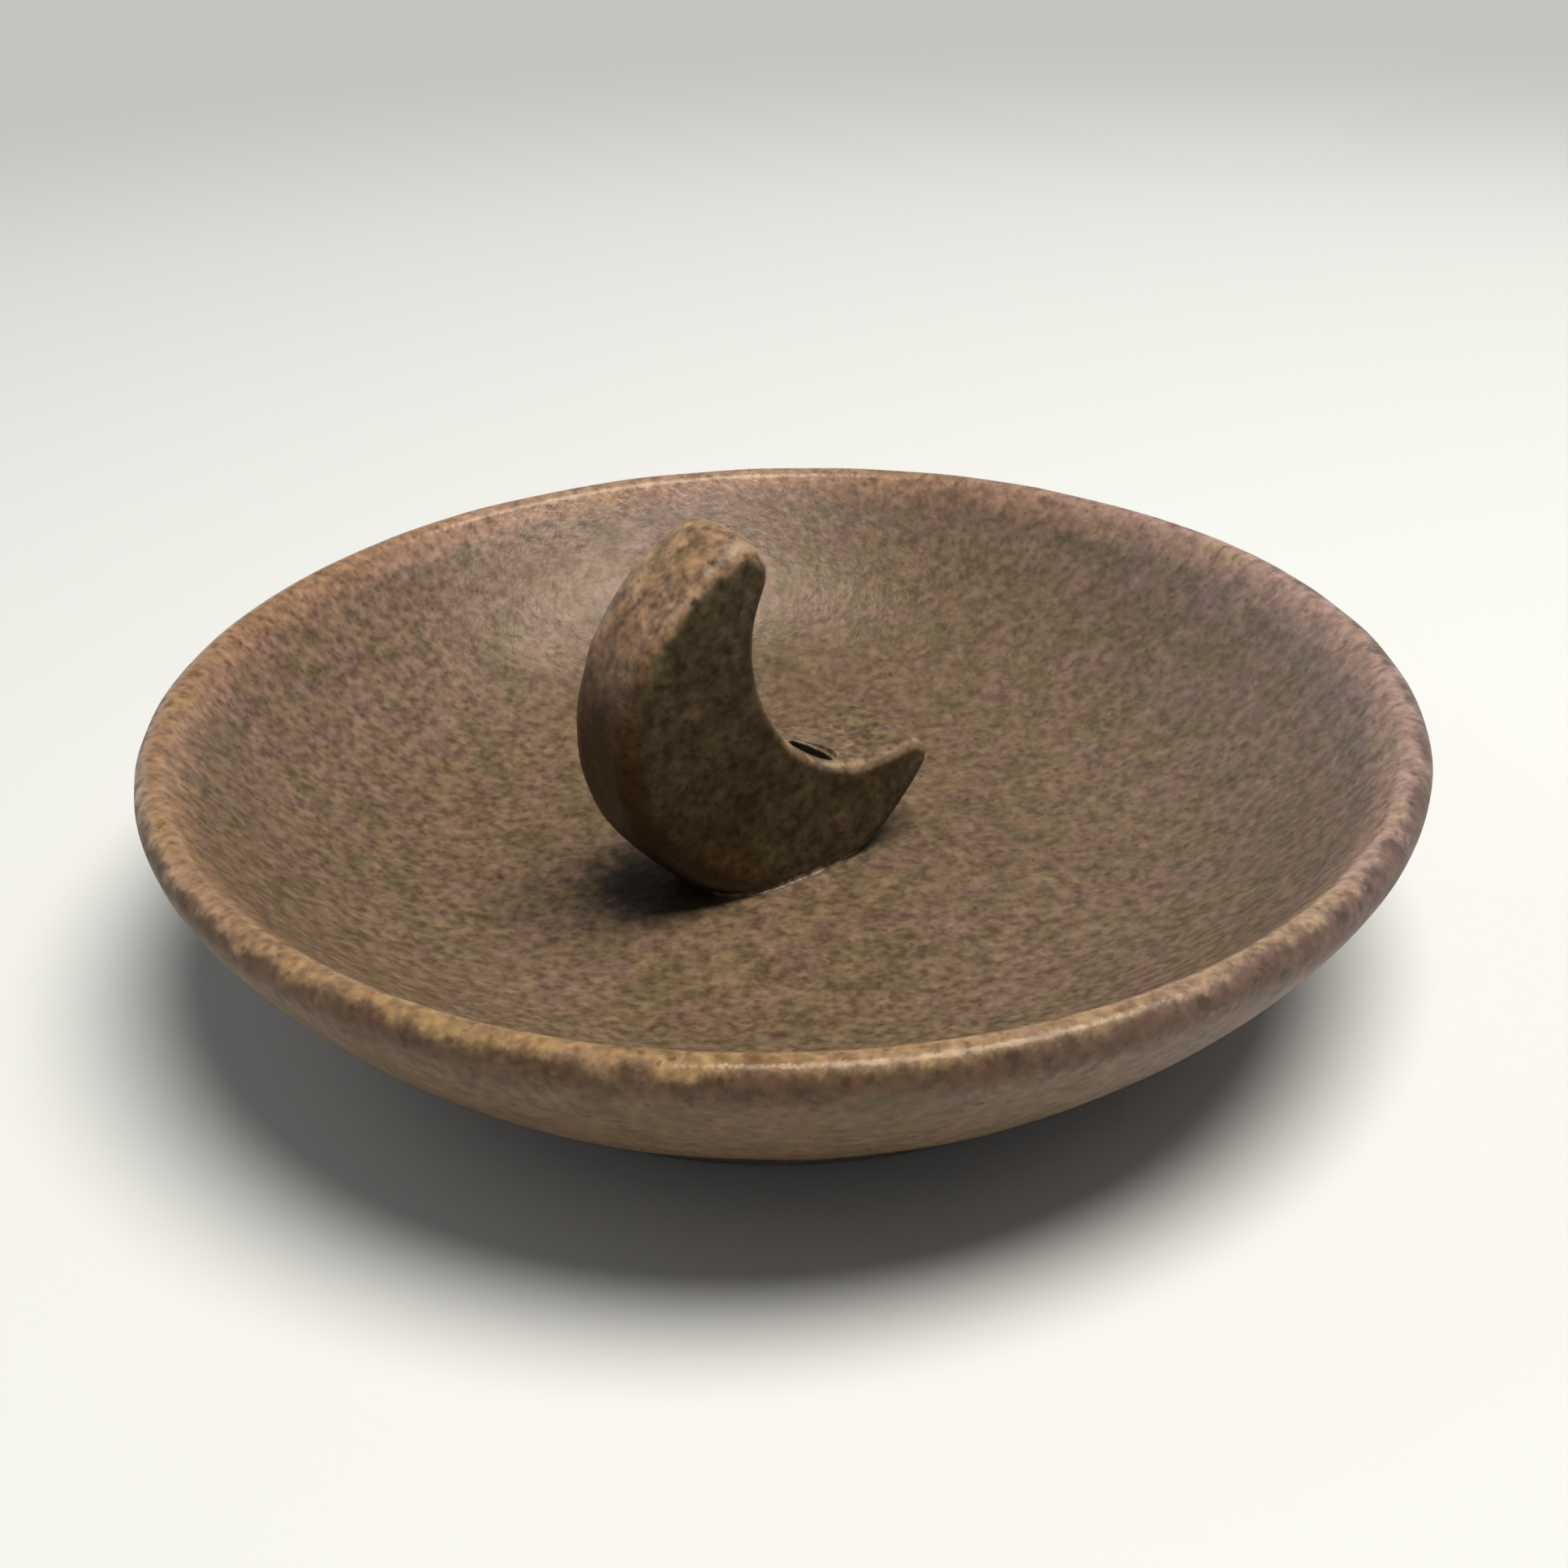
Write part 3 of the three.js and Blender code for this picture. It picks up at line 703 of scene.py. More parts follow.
def mix_dish_finish():
    """The dish's glaze, with its tan lip, the dark belt under it, and a bare foot ring."""
    material, tree, place = begin_material("dish_glaze")
    away = mesh_value(tree, "from_crest")
    x, y, z = put(tree, "ShaderNodeSeparateXYZ", {0: place}).outputs
    level = vector_calc(tree, "MULTIPLY", place, (1, 1, 0))
    radius = vector_calc(tree, "LENGTH", level, output=1)
    run_place = run_over_lip(tree, level, away)
    edge = calc(tree, "ADD", away, spread(tree, cloud(tree, place, *EDGE_CLOUD), *EDGE_WANDER))
    outer = calc(tree, "ADD", edge, spread(tree, x, *WIDER_RIGHT))
    thin = times(tree, ease(tree, edge, *THIN_INSIDE), ease(tree, outer, *THIN_OUTSIDE))
    belt = times(tree, ease(tree, outer, *BELT_TOP), ease(tree, edge, *BELT_BOTTOM))
    grain = times(tree, spread(tree, edge, *GRAIN_OUTWARD),
                  spread(tree, calc(tree, "ADD", x, y), *GRAIN_BACKWARD))
    gild = spread(tree, y, *GILD_FORWARD)
    colour = glaze_colour(tree, place, thin, times(tree, belt, BELT_STRENGTH), run_place, grain, gild)
    spot = ease(tree, cloud(tree, run_place, *BELT_SPOTS), *BELT_SPOT_EDGE)
    colour = blend(tree, times(tree, spot, belt, BELT_SPOT_STRENGTH), colour, IRON_SPECK)
    colour = tones_and_painted_light(tree, colour, x, y, radius, edge)
    # Painted shadow of the crescent on the floor.
    shadow = times(tree, painted_shadow(tree, place), ease(tree, z, *SHADOW_ABOVE), SHADOW_STRENGTH)
    colour = blend(tree, shadow, colour, PAINTED_SHADE_DARK)
    matt = times(tree, ease(tree, edge, *OUTSIDE_DULL), OUTSIDE_MATT)
    matt = calc(tree, "SUBTRACT", matt, times(tree, thin, CREST_GLOSS))
    wiped = calc(tree, "ADD", z, spread(tree, cloud(tree, place, WIPE_SIZE), *WIPE_WANDER))
    bare = times(tree, ease(tree, wiped, *WIPED_BELOW), ease(tree, radius, *WIPED_BEYOND))
    inputs = {0: bare, 1: glaze_coat(tree, place, colour, matt=matt), 2: bare_clay(tree, place)}
    both = put(tree, "ShaderNodeMixShader", inputs)
    put(tree, "ShaderNodeOutputMaterial", {"Surface": both.outputs[0]})
    return material


# %% Make the dish
def make_dish():
    """The dish's surface as one closed mesh, with its distance from the crest written on it."""
    places, from_crest = dish_surface()
    rings = (len(places) - 2) // STEPS_AROUND
    piece = make_piece("glazed_dish", places, pole_faces(rings, STEPS_AROUND), mix_dish_finish())
    write_values(piece, "from_crest", from_crest)
    return piece


glazed_dish = make_dish()
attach(glazed_dish, "root")
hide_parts("dish")

# %% [markdown]
# ## The crescent
# The crescent's outline is one circle less another, and each horn is a small circle that touches both.
# Its skin is a stack of such outlines. On the flat faces they shrink to a line along the middle, on the
# rounded edges each is drawn in and set back by a quarter circle, and down the sides they stay as they
# are. The edges along the back are widely rounded half way between the horns, where a thumb smoothed
# them, and crisper towards the horns, except behind the upper horn, which is rounded most. Then hands
# shape the horns: each is pushed a little aside, the clay round it follows, and the upper one is crowned
# across its thickness. The foot is cut flat, and the stick hole is bored square to the hollow with a
# turned cutter.

# %% Sizes of the crescent
MOON_RADIUS = 17.8
MOON_THICKNESS = 10.2
MOON_EDGE_ROUND = 1.1
MOON_BACK_ROUND = 2.7
MOON_FOOT_CUT = 2.05
HOLLOW_RADIUS = 14.3
HOLLOW_OFFSET = 11.95
HOLLOW_ANGLE = math.radians(33.3)
UPPER_HORN_RADIUS = 2.6
LOWER_HORN_RADIUS = 1.9
LEAST_HORN_RADIUS = 0.3
FAR_HORN_ROUND = 2.8
UPPER_HORN_PUSH = -0.7
UPPER_HORN_RAISE = -0.8
UPPER_HORN_REACH = 16
LOWER_HORN_PUSH = -0.7
LOWER_HORN_RAISE = 0.85
LOWER_HORN_REACH = 13
HORN_CROWN = 1.4
HORN_CROWN_REACH = 9
MOON_PLACE = (-1.0, -1.0)
MOON_YAW = math.radians(35.8)
STICK_HOLE_RADIUS = 2.1
STICK_HOLE_DEPTH = 8
STICK_HOLE_ANGLE = math.radians(242)
STICK_HOLE_FORWARD = 1.4
BORE_FILLET = 0.5
MOUTH_ROUND = 0.3
CUTTER_REACH = 4
STEPS_ALONG = 150
STEPS_ROUND_HORN = 24
STEPS_ACROSS_EDGE = 10
STEPS_ACROSS_SIDE = 14
STEPS_ACROSS_FACE = 16
STEPS_AROUND_HOLE = 64
MOON_UNEVENNESS = 0.12
MOON_LUMPS = ((0.6, 12, 8), (0.4, 4, 9))
EVEN_FOOT_FADE = 4
EVEN_FOOT_SHARE = 0.25
WELD_DISTANCE = 1e-6
SHARP_ANGLE = math.radians(50)

moon_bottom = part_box("crescent")[0][2] / MM
back_centre = np.array([0.0, MOON_RADIUS - MOON_FOOT_CUT])
towards_hollow = np.array([math.cos(HOLLOW_ANGLE), math.sin(HOLLOW_ANGLE)])
hollow_centre = back_centre + HOLLOW_OFFSET * towards_hollow
print("the crescent's foot is", round(moon_bottom, 2), "mm above the table")


# %% The crescent's outlines
def horn_centre(back_radius, hollow_radius, horn_radius, side):
    """The centre of a circle that touches the back's circle from inside and the hollow's from outside:
    where two circles about those centres cross. side is 1 for the upper horn, -1 for the lower."""
    from_back = back_radius - horn_radius
    from_hollow = hollow_radius + horn_radius
    along = (from_back ** 2 - from_hollow ** 2 + HOLLOW_OFFSET ** 2) / (2 * HOLLOW_OFFSET)
    across = math.sqrt(max(from_back ** 2 - along ** 2, 0))
    sideways = np.array([-towards_hollow[1], towards_hollow[0]])
    return back_centre + along * towards_hollow + side * across * sideways


def bearing(centre, point):
    """The direction from centre to point, as an angle."""
    return math.atan2(point[1] - centre[1], point[0] - centre[0])


def turn_past(angle, start):
    """The same angle with as many whole turns as take it past start."""
    return angle + 2 * math.pi * math.ceil((start - angle) / (2 * math.pi))


def row_part(centre, radius, start, end, count, rounding, turn):
    """One arc of a row, with its end left to the next part: the radius may change along it. The way
    back from the face is the rounding times (1 - cosine of turn)."""
    angle = start + (end - start) * np.arange(count) / count
    depth = MOON_THICKNESS / 2 - rounding * (1 - math.cos(turn))
    x, y = centre[0] + radius * np.cos(angle), centre[1] + radius * np.sin(angle)
    return np.stack([x, y, np.broadcast_to(depth, count)], -1)


def crescent_row(turn, horn_round):
    """One closed row of the skin: down the back, round the lower horn, up the hollow and over the upper
    horn. At turn 0 it bounds the flat face, and at a quarter turn the sides stand square to it. The way
    in is the rounding times (1 - sine of turn). The back's rounding is horn_round at the upper horn,
    where it falls off as a squared cosine, and swells as a squared sine half way to the lower one."""
    way_in = 1 - math.sin(turn)
    inset = MOON_EDGE_ROUND * way_in
    hollow_radius = HOLLOW_RADIUS + inset
    upper_inset = (inset + horn_round * way_in) / 2
    upper_radius = max(UPPER_HORN_RADIUS - upper_inset, LEAST_HORN_RADIUS)
    lower_radius = max(LOWER_HORN_RADIUS - inset, LEAST_HORN_RADIUS)
    upper = horn_centre(MOON_RADIUS - horn_round * way_in, hollow_radius, upper_radius, 1)
    lower = horn_centre(MOON_RADIUS - inset, hollow_radius, lower_radius, -1)
    back_start = bearing(back_centre, upper)
    back_end = turn_past(bearing(back_centre, lower), back_start)
    lower_end = turn_past(bearing(lower, hollow_centre), back_end)
    hollow_start = bearing(hollow_centre, lower)
    hollow_end = bearing(hollow_centre, upper)
    hollow_start = turn_past(hollow_start, hollow_end)
    upper_start = bearing(upper, hollow_centre)
    upper_end = turn_past(back_start, upper_start)
    along = np.arange(STEPS_ALONG) / STEPS_ALONG
    fall = np.where(along < 0.5, np.cos(np.pi * along) ** 2, 0)
    rounding = MOON_EDGE_ROUND + (MOON_BACK_ROUND - MOON_EDGE_ROUND) * np.sin(np.pi * along) ** 2
    rounding = rounding + (horn_round - MOON_EDGE_ROUND) * fall
    onto_back = (np.arange(STEPS_ROUND_HORN) / STEPS_ROUND_HORN) ** 2
    over_horn = MOON_EDGE_ROUND + (horn_round - MOON_EDGE_ROUND) * onto_back
    return np.concatenate([
        row_part(back_centre, MOON_RADIUS - rounding * way_in, back_start, back_end, STEPS_ALONG,
                  rounding, turn),
        row_part(lower, lower_radius, back_end, lower_end, STEPS_ROUND_HORN, MOON_EDGE_ROUND, turn),
        row_part(hollow_centre, hollow_radius, hollow_start, hollow_end, STEPS_ALONG,
                  MOON_EDGE_ROUND, turn),
        row_part(upper, upper_radius, upper_start, upper_end, STEPS_ROUND_HORN, over_horn, turn),
    ])


# %% The crescent's skin
def middle_line(row):
    """For each place of a face's outline, its own place on the line along the middle: half way between
    the back and the hollow, and that line's ends for the horns."""
    back = row[:STEPS_ALONG]
    hollow = row[STEPS_ALONG + STEPS_ROUND_HORN:2 * STEPS_ALONG + STEPS_ROUND_HORN]
    middle = (back + hollow[::-1]) / 2
    lower_end = np.repeat(middle[-1:], STEPS_ROUND_HORN, 0)
    upper_end = np.repeat(middle[:1], STEPS_ROUND_HORN, 0)
    return np.concatenate([middle, lower_end, middle[::-1], upper_end])


def half_skin(horn_round):
    """Rows from the middle of a face out to its edge and over the edge. The first row folds onto a line,
    so the face closes there once places that coincide are welded."""
    turns = np.linspace(0, math.pi / 2, STEPS_ACROSS_EDGE + 1)
    edge = np.stack([crescent_row(turn, horn_round) for turn in turns])
    share = np.linspace(0, 1, STEPS_ACROSS_FACE, endpoint=False)[:, None, None]
    middle = middle_line(edge[0])
    return np.concatenate([middle + (edge[0] - middle) * share, edge])


def nearness(places, horn, reach):
    """3 t squared - 2 t cubed, where t falls evenly from 1 at the middle of a horn's round to 0 at the
    reach."""
    near = np.clip(1 - np.linalg.norm(places[..., :2] - horn, axis=-1) / reach, 0, 1)
    return near ** 2 * (3 - 2 * near)


def hand_shaped(places):
    """The places moved by each horn's push and raise times the nearness to it, and the upper horn's
    crown, which is full half way across the thickness and falls off as the square of the way out."""
    upper_horn = horn_centre(MOON_RADIUS, HOLLOW_RADIUS, UPPER_HORN_RADIUS, 1)
    lower_horn = horn_centre(MOON_RADIUS, HOLLOW_RADIUS, LOWER_HORN_RADIUS, -1)
    upper = nearness(places, upper_horn, UPPER_HORN_REACH)
    lower = nearness(places, lower_horn, LOWER_HORN_REACH)
    midway = np.clip(1 - (2 * places[..., 2] / MOON_THICKNESS) ** 2, 0, 1)
    crown = HORN_CROWN * midway * nearness(places, upper_horn, HORN_CROWN_REACH)
    push = UPPER_HORN_PUSH * upper + LOWER_HORN_PUSH * lower
    rise = UPPER_HORN_RAISE * upper + LOWER_HORN_RAISE * lower + crown
    return places + np.stack([push, rise, 0 * push], -1)


def crescent_skin():
    """Rows over the far face, across the side and over the front face, with the horns shaped by hand."""
    far = half_skin(FAR_HORN_ROUND) * (1, 1, -1)
    front = half_skin(MOON_EDGE_ROUND)
    share = np.linspace(0, 1, STEPS_ACROSS_SIDE + 1)[1:-1, None, None]
    return hand_shaped(np.concatenate([far, far[-1] + (front[-1] - far[-1]) * share, front[::-1]]))


def stand_up(places):
    """From the crescent's own frame, x along its face, y up and z to its front, to its place in the
    dish: the face turns upright, then about the vertical by the yaw."""
    x, up, front = places[..., 0], places[..., 1], places[..., 2]
    cos, sin = math.cos(MOON_YAW), math.sin(MOON_YAW)
    return np.stack([MOON_PLACE[0] + x * cos + front * sin, MOON_PLACE[1] + x * sin - front * cos,
                     moon_bottom + up], -1)


# %% [markdown]
# ## The crescent's finish
# The crescent wears the dish's glaze. Upright faces are darkened as painted shade, and faces turned
# down more so. It is thin and tan where the upper horn faces up and on the edges, with larger iron spots
# there, and the front edges near the horns are pale where they face up, partly wear and partly a painted
# highlight. It has gathered to a dark red brown low on the back, where it ran down towards the foot, and
# the back and its low corner carry painted shade as well, with nearly black painted shade in the crease
# under it. The stick hole is painted nearly black inside, as painted shade. Which way the surface faces
# is written on the mesh, and height is read from the place itself.

# %% Colours and limits of the crescent's finish
# Heights are in millimetres. Facing is 1 straight up and 0 on an upright face, back is 1 away from the
# hollow, and edge is 1 half way round an edge.
# Painted shade on upright faces.
UPRIGHT_PAINTED_SHADE = (0.42, 0.48, 0.42, 1.0)
UPRIGHT_FACING = (0.5, 0.0)
UPRIGHT_HEIGHT = (1.0, 0.85, 22.0, 34.0)
UPRIGHT_EDGE = (1.0, 0.7, 0.2, 1.0)
# Painted shade on faces turned down.
UNDER_PAINTED_SHADE = (0.28, 0.20, 0.10, 1.0)
UNDER_FACING = (0.0, -0.5)
# Red brown of gathered glaze and painted shade, on the back and its low corner.
BACK_STAIN_AND_SHADE = (0.58, 0.42, 0.24, 1.0)
BACK_SIDE = (0.2, 0.8)
BACK_HEIGHT = (38.0, 23.0)
CORNER_STAIN_AND_SHADE = (0.62, 0.46, 0.24, 1.0)
CORNER_ALONG = (-3.0, -10.0)
CORNER_HEIGHT = (21.0, 9.0)
# Painted shade, nearly black, in the crease under the back.
CREASE_HEIGHT = (20.0, 8.5)
CREASE_FACING = (0.05, -0.55)
CREASE_STRENGTH = 0.85
# Pale worn edges, partly a painted highlight where they face up.
WORN_EDGE_HIGHLIGHT = (0.46, 0.33, 0.21, 1.0)
WORN_HIGHLIGHT_STRENGTH = 0.8
LIT_EDGE = (0.5, 1.0)
LIT_FACING = (0.1, 0.5)
UPPER_HORN_ABOVE = (31.0, 36.5)
LOWER_HORN_BELOW = (26.0, 23.0)
HOLLOW_SIDE = (0.1, -0.3)
SCUFFS = (1.3, 2.0, 0.6, 19.0)
SCUFF_EDGE = (0.40, 0.60)
HORN_HEIGHT = (26.0, 34.5)
HORN_FACING = (0.1, 0.55)
HORN_STRENGTH = 0.8
THIN_EDGE_HEIGHT = (0.3, 0.8, 26.0, 36.0)
GATHERED_HEIGHT = (17.0, 8.0)
GATHERED_BACK = (0.15, 0.8, 0.0, 0.6)
MOON_CLOUD = (3.0, 4.0, 0.65, 5.0)
MOON_WANDER = (-1.0, 1.0)
WANDER_HEIGHT = 2.0
WANDER_FACING = 0.18
MOTTLE = (2.4, 3.0, 0.6, 27.0)
MOTTLE_SHADES = (0.72, 1.28)
IRON_SPOTS = (1.7, 2.0, 0.6, 91.0)
IRON_SPOT_EDGE = (0.58, 0.72)
IRON_SPOT_STRENGTH = 0.75
# Painted shade inside the stick hole.
BORE_PAINTED_SHADE = (0.010, 0.007, 0.004, 1.0)
MOON_MATT = 0.06


# %% Mix the crescent's finish
def worn_and_lit_edges(tree, place, height, facing, back):
    """How far the front edges are pale, partly wear and partly a painted highlight: where they face up,
    near the upper horn or in the hollow near the lower one, and where a cloud says that they are scuffed."""
    in_hollow = times(tree, ease(tree, height, *LOWER_HORN_BELOW), ease(tree, back, *HOLLOW_SIDE))
    near_horns = calc(tree, "MAXIMUM", ease(tree, height, *UPPER_HORN_ABOVE), in_hollow)
    front_edge = ease(tree, mesh_value(tree, "front_edge"), *LIT_EDGE)
    scuffed = ease(tree, cloud(tree, place, *SCUFFS), *SCUFF_EDGE)
    return times(tree, front_edge, ease(tree, facing, *LIT_FACING), near_horns, scuffed, WORN_HIGHLIGHT_STRENGTH)


def mix_crescent_finish():
    """The glaze on the crescent: painted shade where it stands upright or faces down, tan where the upper
    horn faces up, with large iron spots, red brown and painted shade low on the back, and nearly black
    painted shade in the crease and the hole. A wandering cloud makes the heights and the facings ragged."""
    material, tree, place = begin_material("crescent_glaze")
    z = put(tree, "ShaderNodeSeparateXYZ", {0: place}).outputs[2]
    wander = spread(tree, cloud(tree, place, *MOON_CLOUD), *MOON_WANDER)
    height = calc(tree, "ADD", z, times(tree, wander, WANDER_HEIGHT))
    facing = calc(tree, "ADD", mesh_value(tree, "rise"), times(tree, wander, WANDER_FACING))
    edge = mesh_value(tree, "edge")
    back = mesh_value(tree, "back")
    horn = times(tree, ease(tree, height, *HORN_HEIGHT), ease(tree, facing, *HORN_FACING), HORN_STRENGTH)
    thin = calc(tree, "MAXIMUM", horn, times(tree, edge, spread(tree, height, *THIN_EDGE_HEIGHT)))
    thick = times(tree, ease(tree, height, *GATHERED_HEIGHT), spread(tree, back, *GATHERED_BACK))
    colour = glaze_colour(tree, place, thin, thick, place)
    colour = shade(tree, 1.0, colour, spread(tree, cloud(tree, place, *MOTTLE), *MOTTLE_SHADES))
    spot = ease(tree, cloud(tree, place, *IRON_SPOTS), *IRON_SPOT_EDGE)
    colour = blend(tree, times(tree, spot, IRON_SPOT_STRENGTH), colour, IRON_SPECK)
    # Painted shade: darker on upright faces, more on faces turned down.
    upright = times(tree, ease(tree, facing, *UPRIGHT_FACING), spread(tree, height, *UPRIGHT_HEIGHT),
                    spread(tree, edge, *UPRIGHT_EDGE))
    colour = tint(tree, upright, colour, UPRIGHT_PAINTED_SHADE)
    colour = tint(tree, ease(tree, facing, *UNDER_FACING), colour, UNDER_PAINTED_SHADE)
    # Red brown of gathered glaze and painted shade, on the back and its low corner.
    behind = times(tree, ease(tree, back, *BACK_SIDE), ease(tree, height, *BACK_HEIGHT))
    colour = tint(tree, behind, colour, BACK_STAIN_AND_SHADE)
    face_way = (math.cos(MOON_YAW), math.sin(MOON_YAW), 0)
    along = vector_calc(tree, "DOT_PRODUCT", place, face_way, output=1)
    low_corner = times(tree, ease(tree, along, *CORNER_ALONG), ease(tree, height, *CORNER_HEIGHT))
    colour = tint(tree, low_corner, colour, CORNER_STAIN_AND_SHADE)
    # Pale worn edges, partly a painted highlight where they face up.
    colour = blend(tree, worn_and_lit_edges(tree, place, height, facing, back), colour, WORN_EDGE_HIGHLIGHT)
    # Painted shade in the crease under the back.
    crease = times(tree, ease(tree, height, *CREASE_HEIGHT), ease(tree, facing, *CREASE_FACING))
    colour = blend(tree, times(tree, crease, CREASE_STRENGTH), colour, PAINTED_SHADE_DARK)
    # Painted shade inside the stick hole.
    colour = blend(tree, mesh_value(tree, "bore"), colour, BORE_PAINTED_SHADE)
    coat = glaze_coat(tree, place, colour, matt=MOON_MATT)
    put(tree, "ShaderNodeOutputMaterial", {"Surface": coat})
    return material


# %% Helpers for cutting and welding
def weld(piece):
    """Merges places that coincide, which also drops the faces that had shrunk to a line."""
    shape = bmesh.new()
    shape.from_mesh(piece.data)
    bmesh.ops.remove_doubles(shape, verts=shape.verts, dist=WELD_DISTANCE)
    shape.to_mesh(piece.data)
    shape.free()


def cut_flat(piece, height):
    """Cuts the piece off level at a height in millimetres, and closes the cut with one flat face."""
    shape = bmesh.new()
    shape.from_mesh(piece.data)
    everything = shape.verts[:] + shape.edges[:] + shape.faces[:]
    cut = bmesh.ops.bisect_plane(shape, geom=everything, plane_co=(0, 0, height * MM),
                                 plane_no=(0, 0, -1), clear_outer=True)
    rim = [part for part in cut["geom_cut"] if isinstance(part, bmesh.types.BMEdge)]
    bmesh.ops.holes_fill(shape, edges=rim)
    shape.to_mesh(piece.data)
    shape.free()


def cut_away(piece, cutter):
    """Cuts the cutter out of the piece with a Boolean modifier, applied at once, and removes it."""
    step = piece.modifiers.new("cut", "BOOLEAN")
    step.object = cutter
    step.operation = "DIFFERENCE"
    step.solver = "EXACT"
    graph = bpy.context.evaluated_depsgraph_get()
    carved = bpy.data.meshes.new_from_object(piece.evaluated_get(graph))
    piece.modifiers.clear()
    piece.data = carved
    bpy.data.objects.remove(cutter)


# %% Make the crescent
bore_out = -np.array([math.cos(STICK_HOLE_ANGLE), math.sin(STICK_HOLE_ANGLE), 0])
bore_mouth = np.array([*(hollow_centre - HOLLOW_RADIUS * bore_out[:2]), STICK_HOLE_FORWARD])


def stick_hole_cutter(material):
    """A turned cutter: a flat bottom, a straight bore and a mouth that flares by a quarter round, laid
    along the bore's own axis. The mouth is where that axis meets the hollow."""
    section = np.concatenate([
        [[STICK_HOLE_RADIUS - BORE_FILLET, -STICK_HOLE_DEPTH]],
        [[STICK_HOLE_RADIUS, BORE_FILLET - STICK_HOLE_DEPTH]],
        arc(STICK_HOLE_RADIUS + MOUTH_ROUND, -MOUTH_ROUND, MOUTH_ROUND, math.pi, math.pi / 2, 7),
        [[STICK_HOLE_RADIUS + MOUTH_ROUND, CUTTER_REACH]],
    ])
    side = turned_surface(section, STEPS_AROUND_HOLE).reshape(-1, 3)
    poles = np.array([[0, 0, -STICK_HOLE_DEPTH], [0, 0, CUTTER_REACH]])
    front = np.array([0, 0, 1.0])
    laid = np.concatenate([side, poles]) @ np.stack([np.cross(front, bore_out), front, bore_out])
    faces = pole_faces(len(section), STEPS_AROUND_HOLE)
    return make_piece("stick_hole_cutter", stand_up(laid + bore_mouth), faces, material)


def in_bore(places):
    """1 for places in the stick hole below its rounded mouth, and 0 outside it."""
    origin, far_end = stand_up(bore_mouth), stand_up(bore_mouth + bore_out)
    out = far_end - origin
    from_mouth = places - origin
    depth = -from_mouth @ out
    apart = np.linalg.norm(from_mouth + depth[:, None] * out, axis=1)
    return (apart < STICK_HOLE_RADIUS + MOUTH_ROUND) & (depth > MOUTH_ROUND / 2)


def half_way(share):
    """4 share (1 - share), which is 1 half way and 0 at both ends."""
    return 4 * share * (1 - share)


def make_crescent():
    """The crescent's skin, drawn in a little by smooth lumps along its normals, then cut and bored. The
    value edge is 1 where the surface faces half way between the flat face and the side, front_edge is
    the same for the front face alone, rise is the height of the surface's direction, back is its part
    away from the hollow, and bore is 1 in the stick hole."""
    material = mix_crescent_finish()
    skin = crescent_skin()
    places = stand_up(skin.reshape(-1, 3))
    piece = make_piece("glazed_crescent", places, [ring_faces(len(skin), skin.shape[1])], material)
    weld(piece)
    places = read_corners(piece, "co") / MM
    above_slip = np.clip((places[:, 2] - moon_bottom) / EVEN_FOOT_FADE - EVEN_FOOT_SHARE, 0, 1)
    drawn_in = MOON_UNEVENNESS * (1 - unevenness(places, MOON_LUMPS)) * above_slip
    places -= read_corners(piece, "normal") * drawn_in[:, None]
    piece.data.vertices.foreach_set("co", (places * MM).ravel())
    cut_flat(piece, moon_bottom)
    cut_away(piece, stick_hole_cutter(material))
    piece.data.set_sharp_from_angle(angle=SHARP_ANGLE)
    facing = read_corners(piece, "normal")
    forward = facing @ (math.sin(MOON_YAW), -math.cos(MOON_YAW), 0)
    write_values(piece, "edge", half_way(np.abs(forward)))
    write_values(piece, "front_edge", half_way(np.clip(forward, 0, 1)))
    write_values(piece, "rise", facing[:, 2])
    write_values(piece, "back", facing @ (-math.cos(MOON_YAW), -math.sin(MOON_YAW), 0))
    write_values(piece, "bore", in_bore(read_corners(piece, "co") / MM))
    return piece


glazed_crescent = make_crescent()
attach(glazed_crescent, "root")
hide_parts("crescent")

# %% [markdown]
# ## The slip that holds the crescent
# Slip is liquid clay. A dab of it under the crescent's foot squeezes out when the crescent is pressed
# down, and a wet finger leaves it as a hollow fillet round the foot. Its surface runs from the middle of
# the bed out to the foot's edge, up against the crescent, and down the fillet to the floor. How far the
# crescent reaches at a height is found by halving, for every direction at once.

# %% Sizes of the slip
BEAD_WIDTH = 0.32
BEAD_WIDTH_EVEN = 0.8
BEAD_WIDTH_WANDER = 0.2
BEAD_HEIGHT = 0.45
BEAD_HEIGHT_EVEN = 0.85
BEAD_HEIGHT_WANDER = 0.15
BEAD_LUMPS = ((1, 1.1, 12),)
BED_GAP = 0.04
EDGE_HEIGHT = 0.05
STEPS_AROUND_SLIP = 240
STEPS_DOWN_FILLET = 12
HALVINGS = 40


# %% The slip's surface
def half_thickness(x, y):
    """The crescent's half thickness at a place low on its face: full where the place lies deeper under
    the back than the rounding, and a quarter circle's height nearer the back."""
    depth = MOON_RADIUS - np.hypot(x - back_centre[0], y - back_centre[1])
    shallow = np.clip(MOON_BACK_ROUND - depth, 0, MOON_BACK_ROUND)
    full = MOON_THICKNESS / 2 - MOON_BACK_ROUND + np.sqrt(MOON_BACK_ROUND ** 2 - shallow ** 2)
    return np.where(depth > 0, full, 0)


def foot_reach(angle, height):
    """How far the crescent reaches from the middle of its foot, in each direction, at a height above
    the foot's cut: the distance at which its half thickness equals the way to the front."""
    near = np.zeros_like(angle)
    far = np.full_like(angle, MOON_RADIUS)
    for _ in range(HALVINGS):
        middle = (near + far) / 2
        inside = half_thickness(middle * np.cos(angle), height) > np.abs(middle * np.sin(angle))
        near = np.where(inside, middle, near)
        far = np.where(inside, far, middle)
    return far


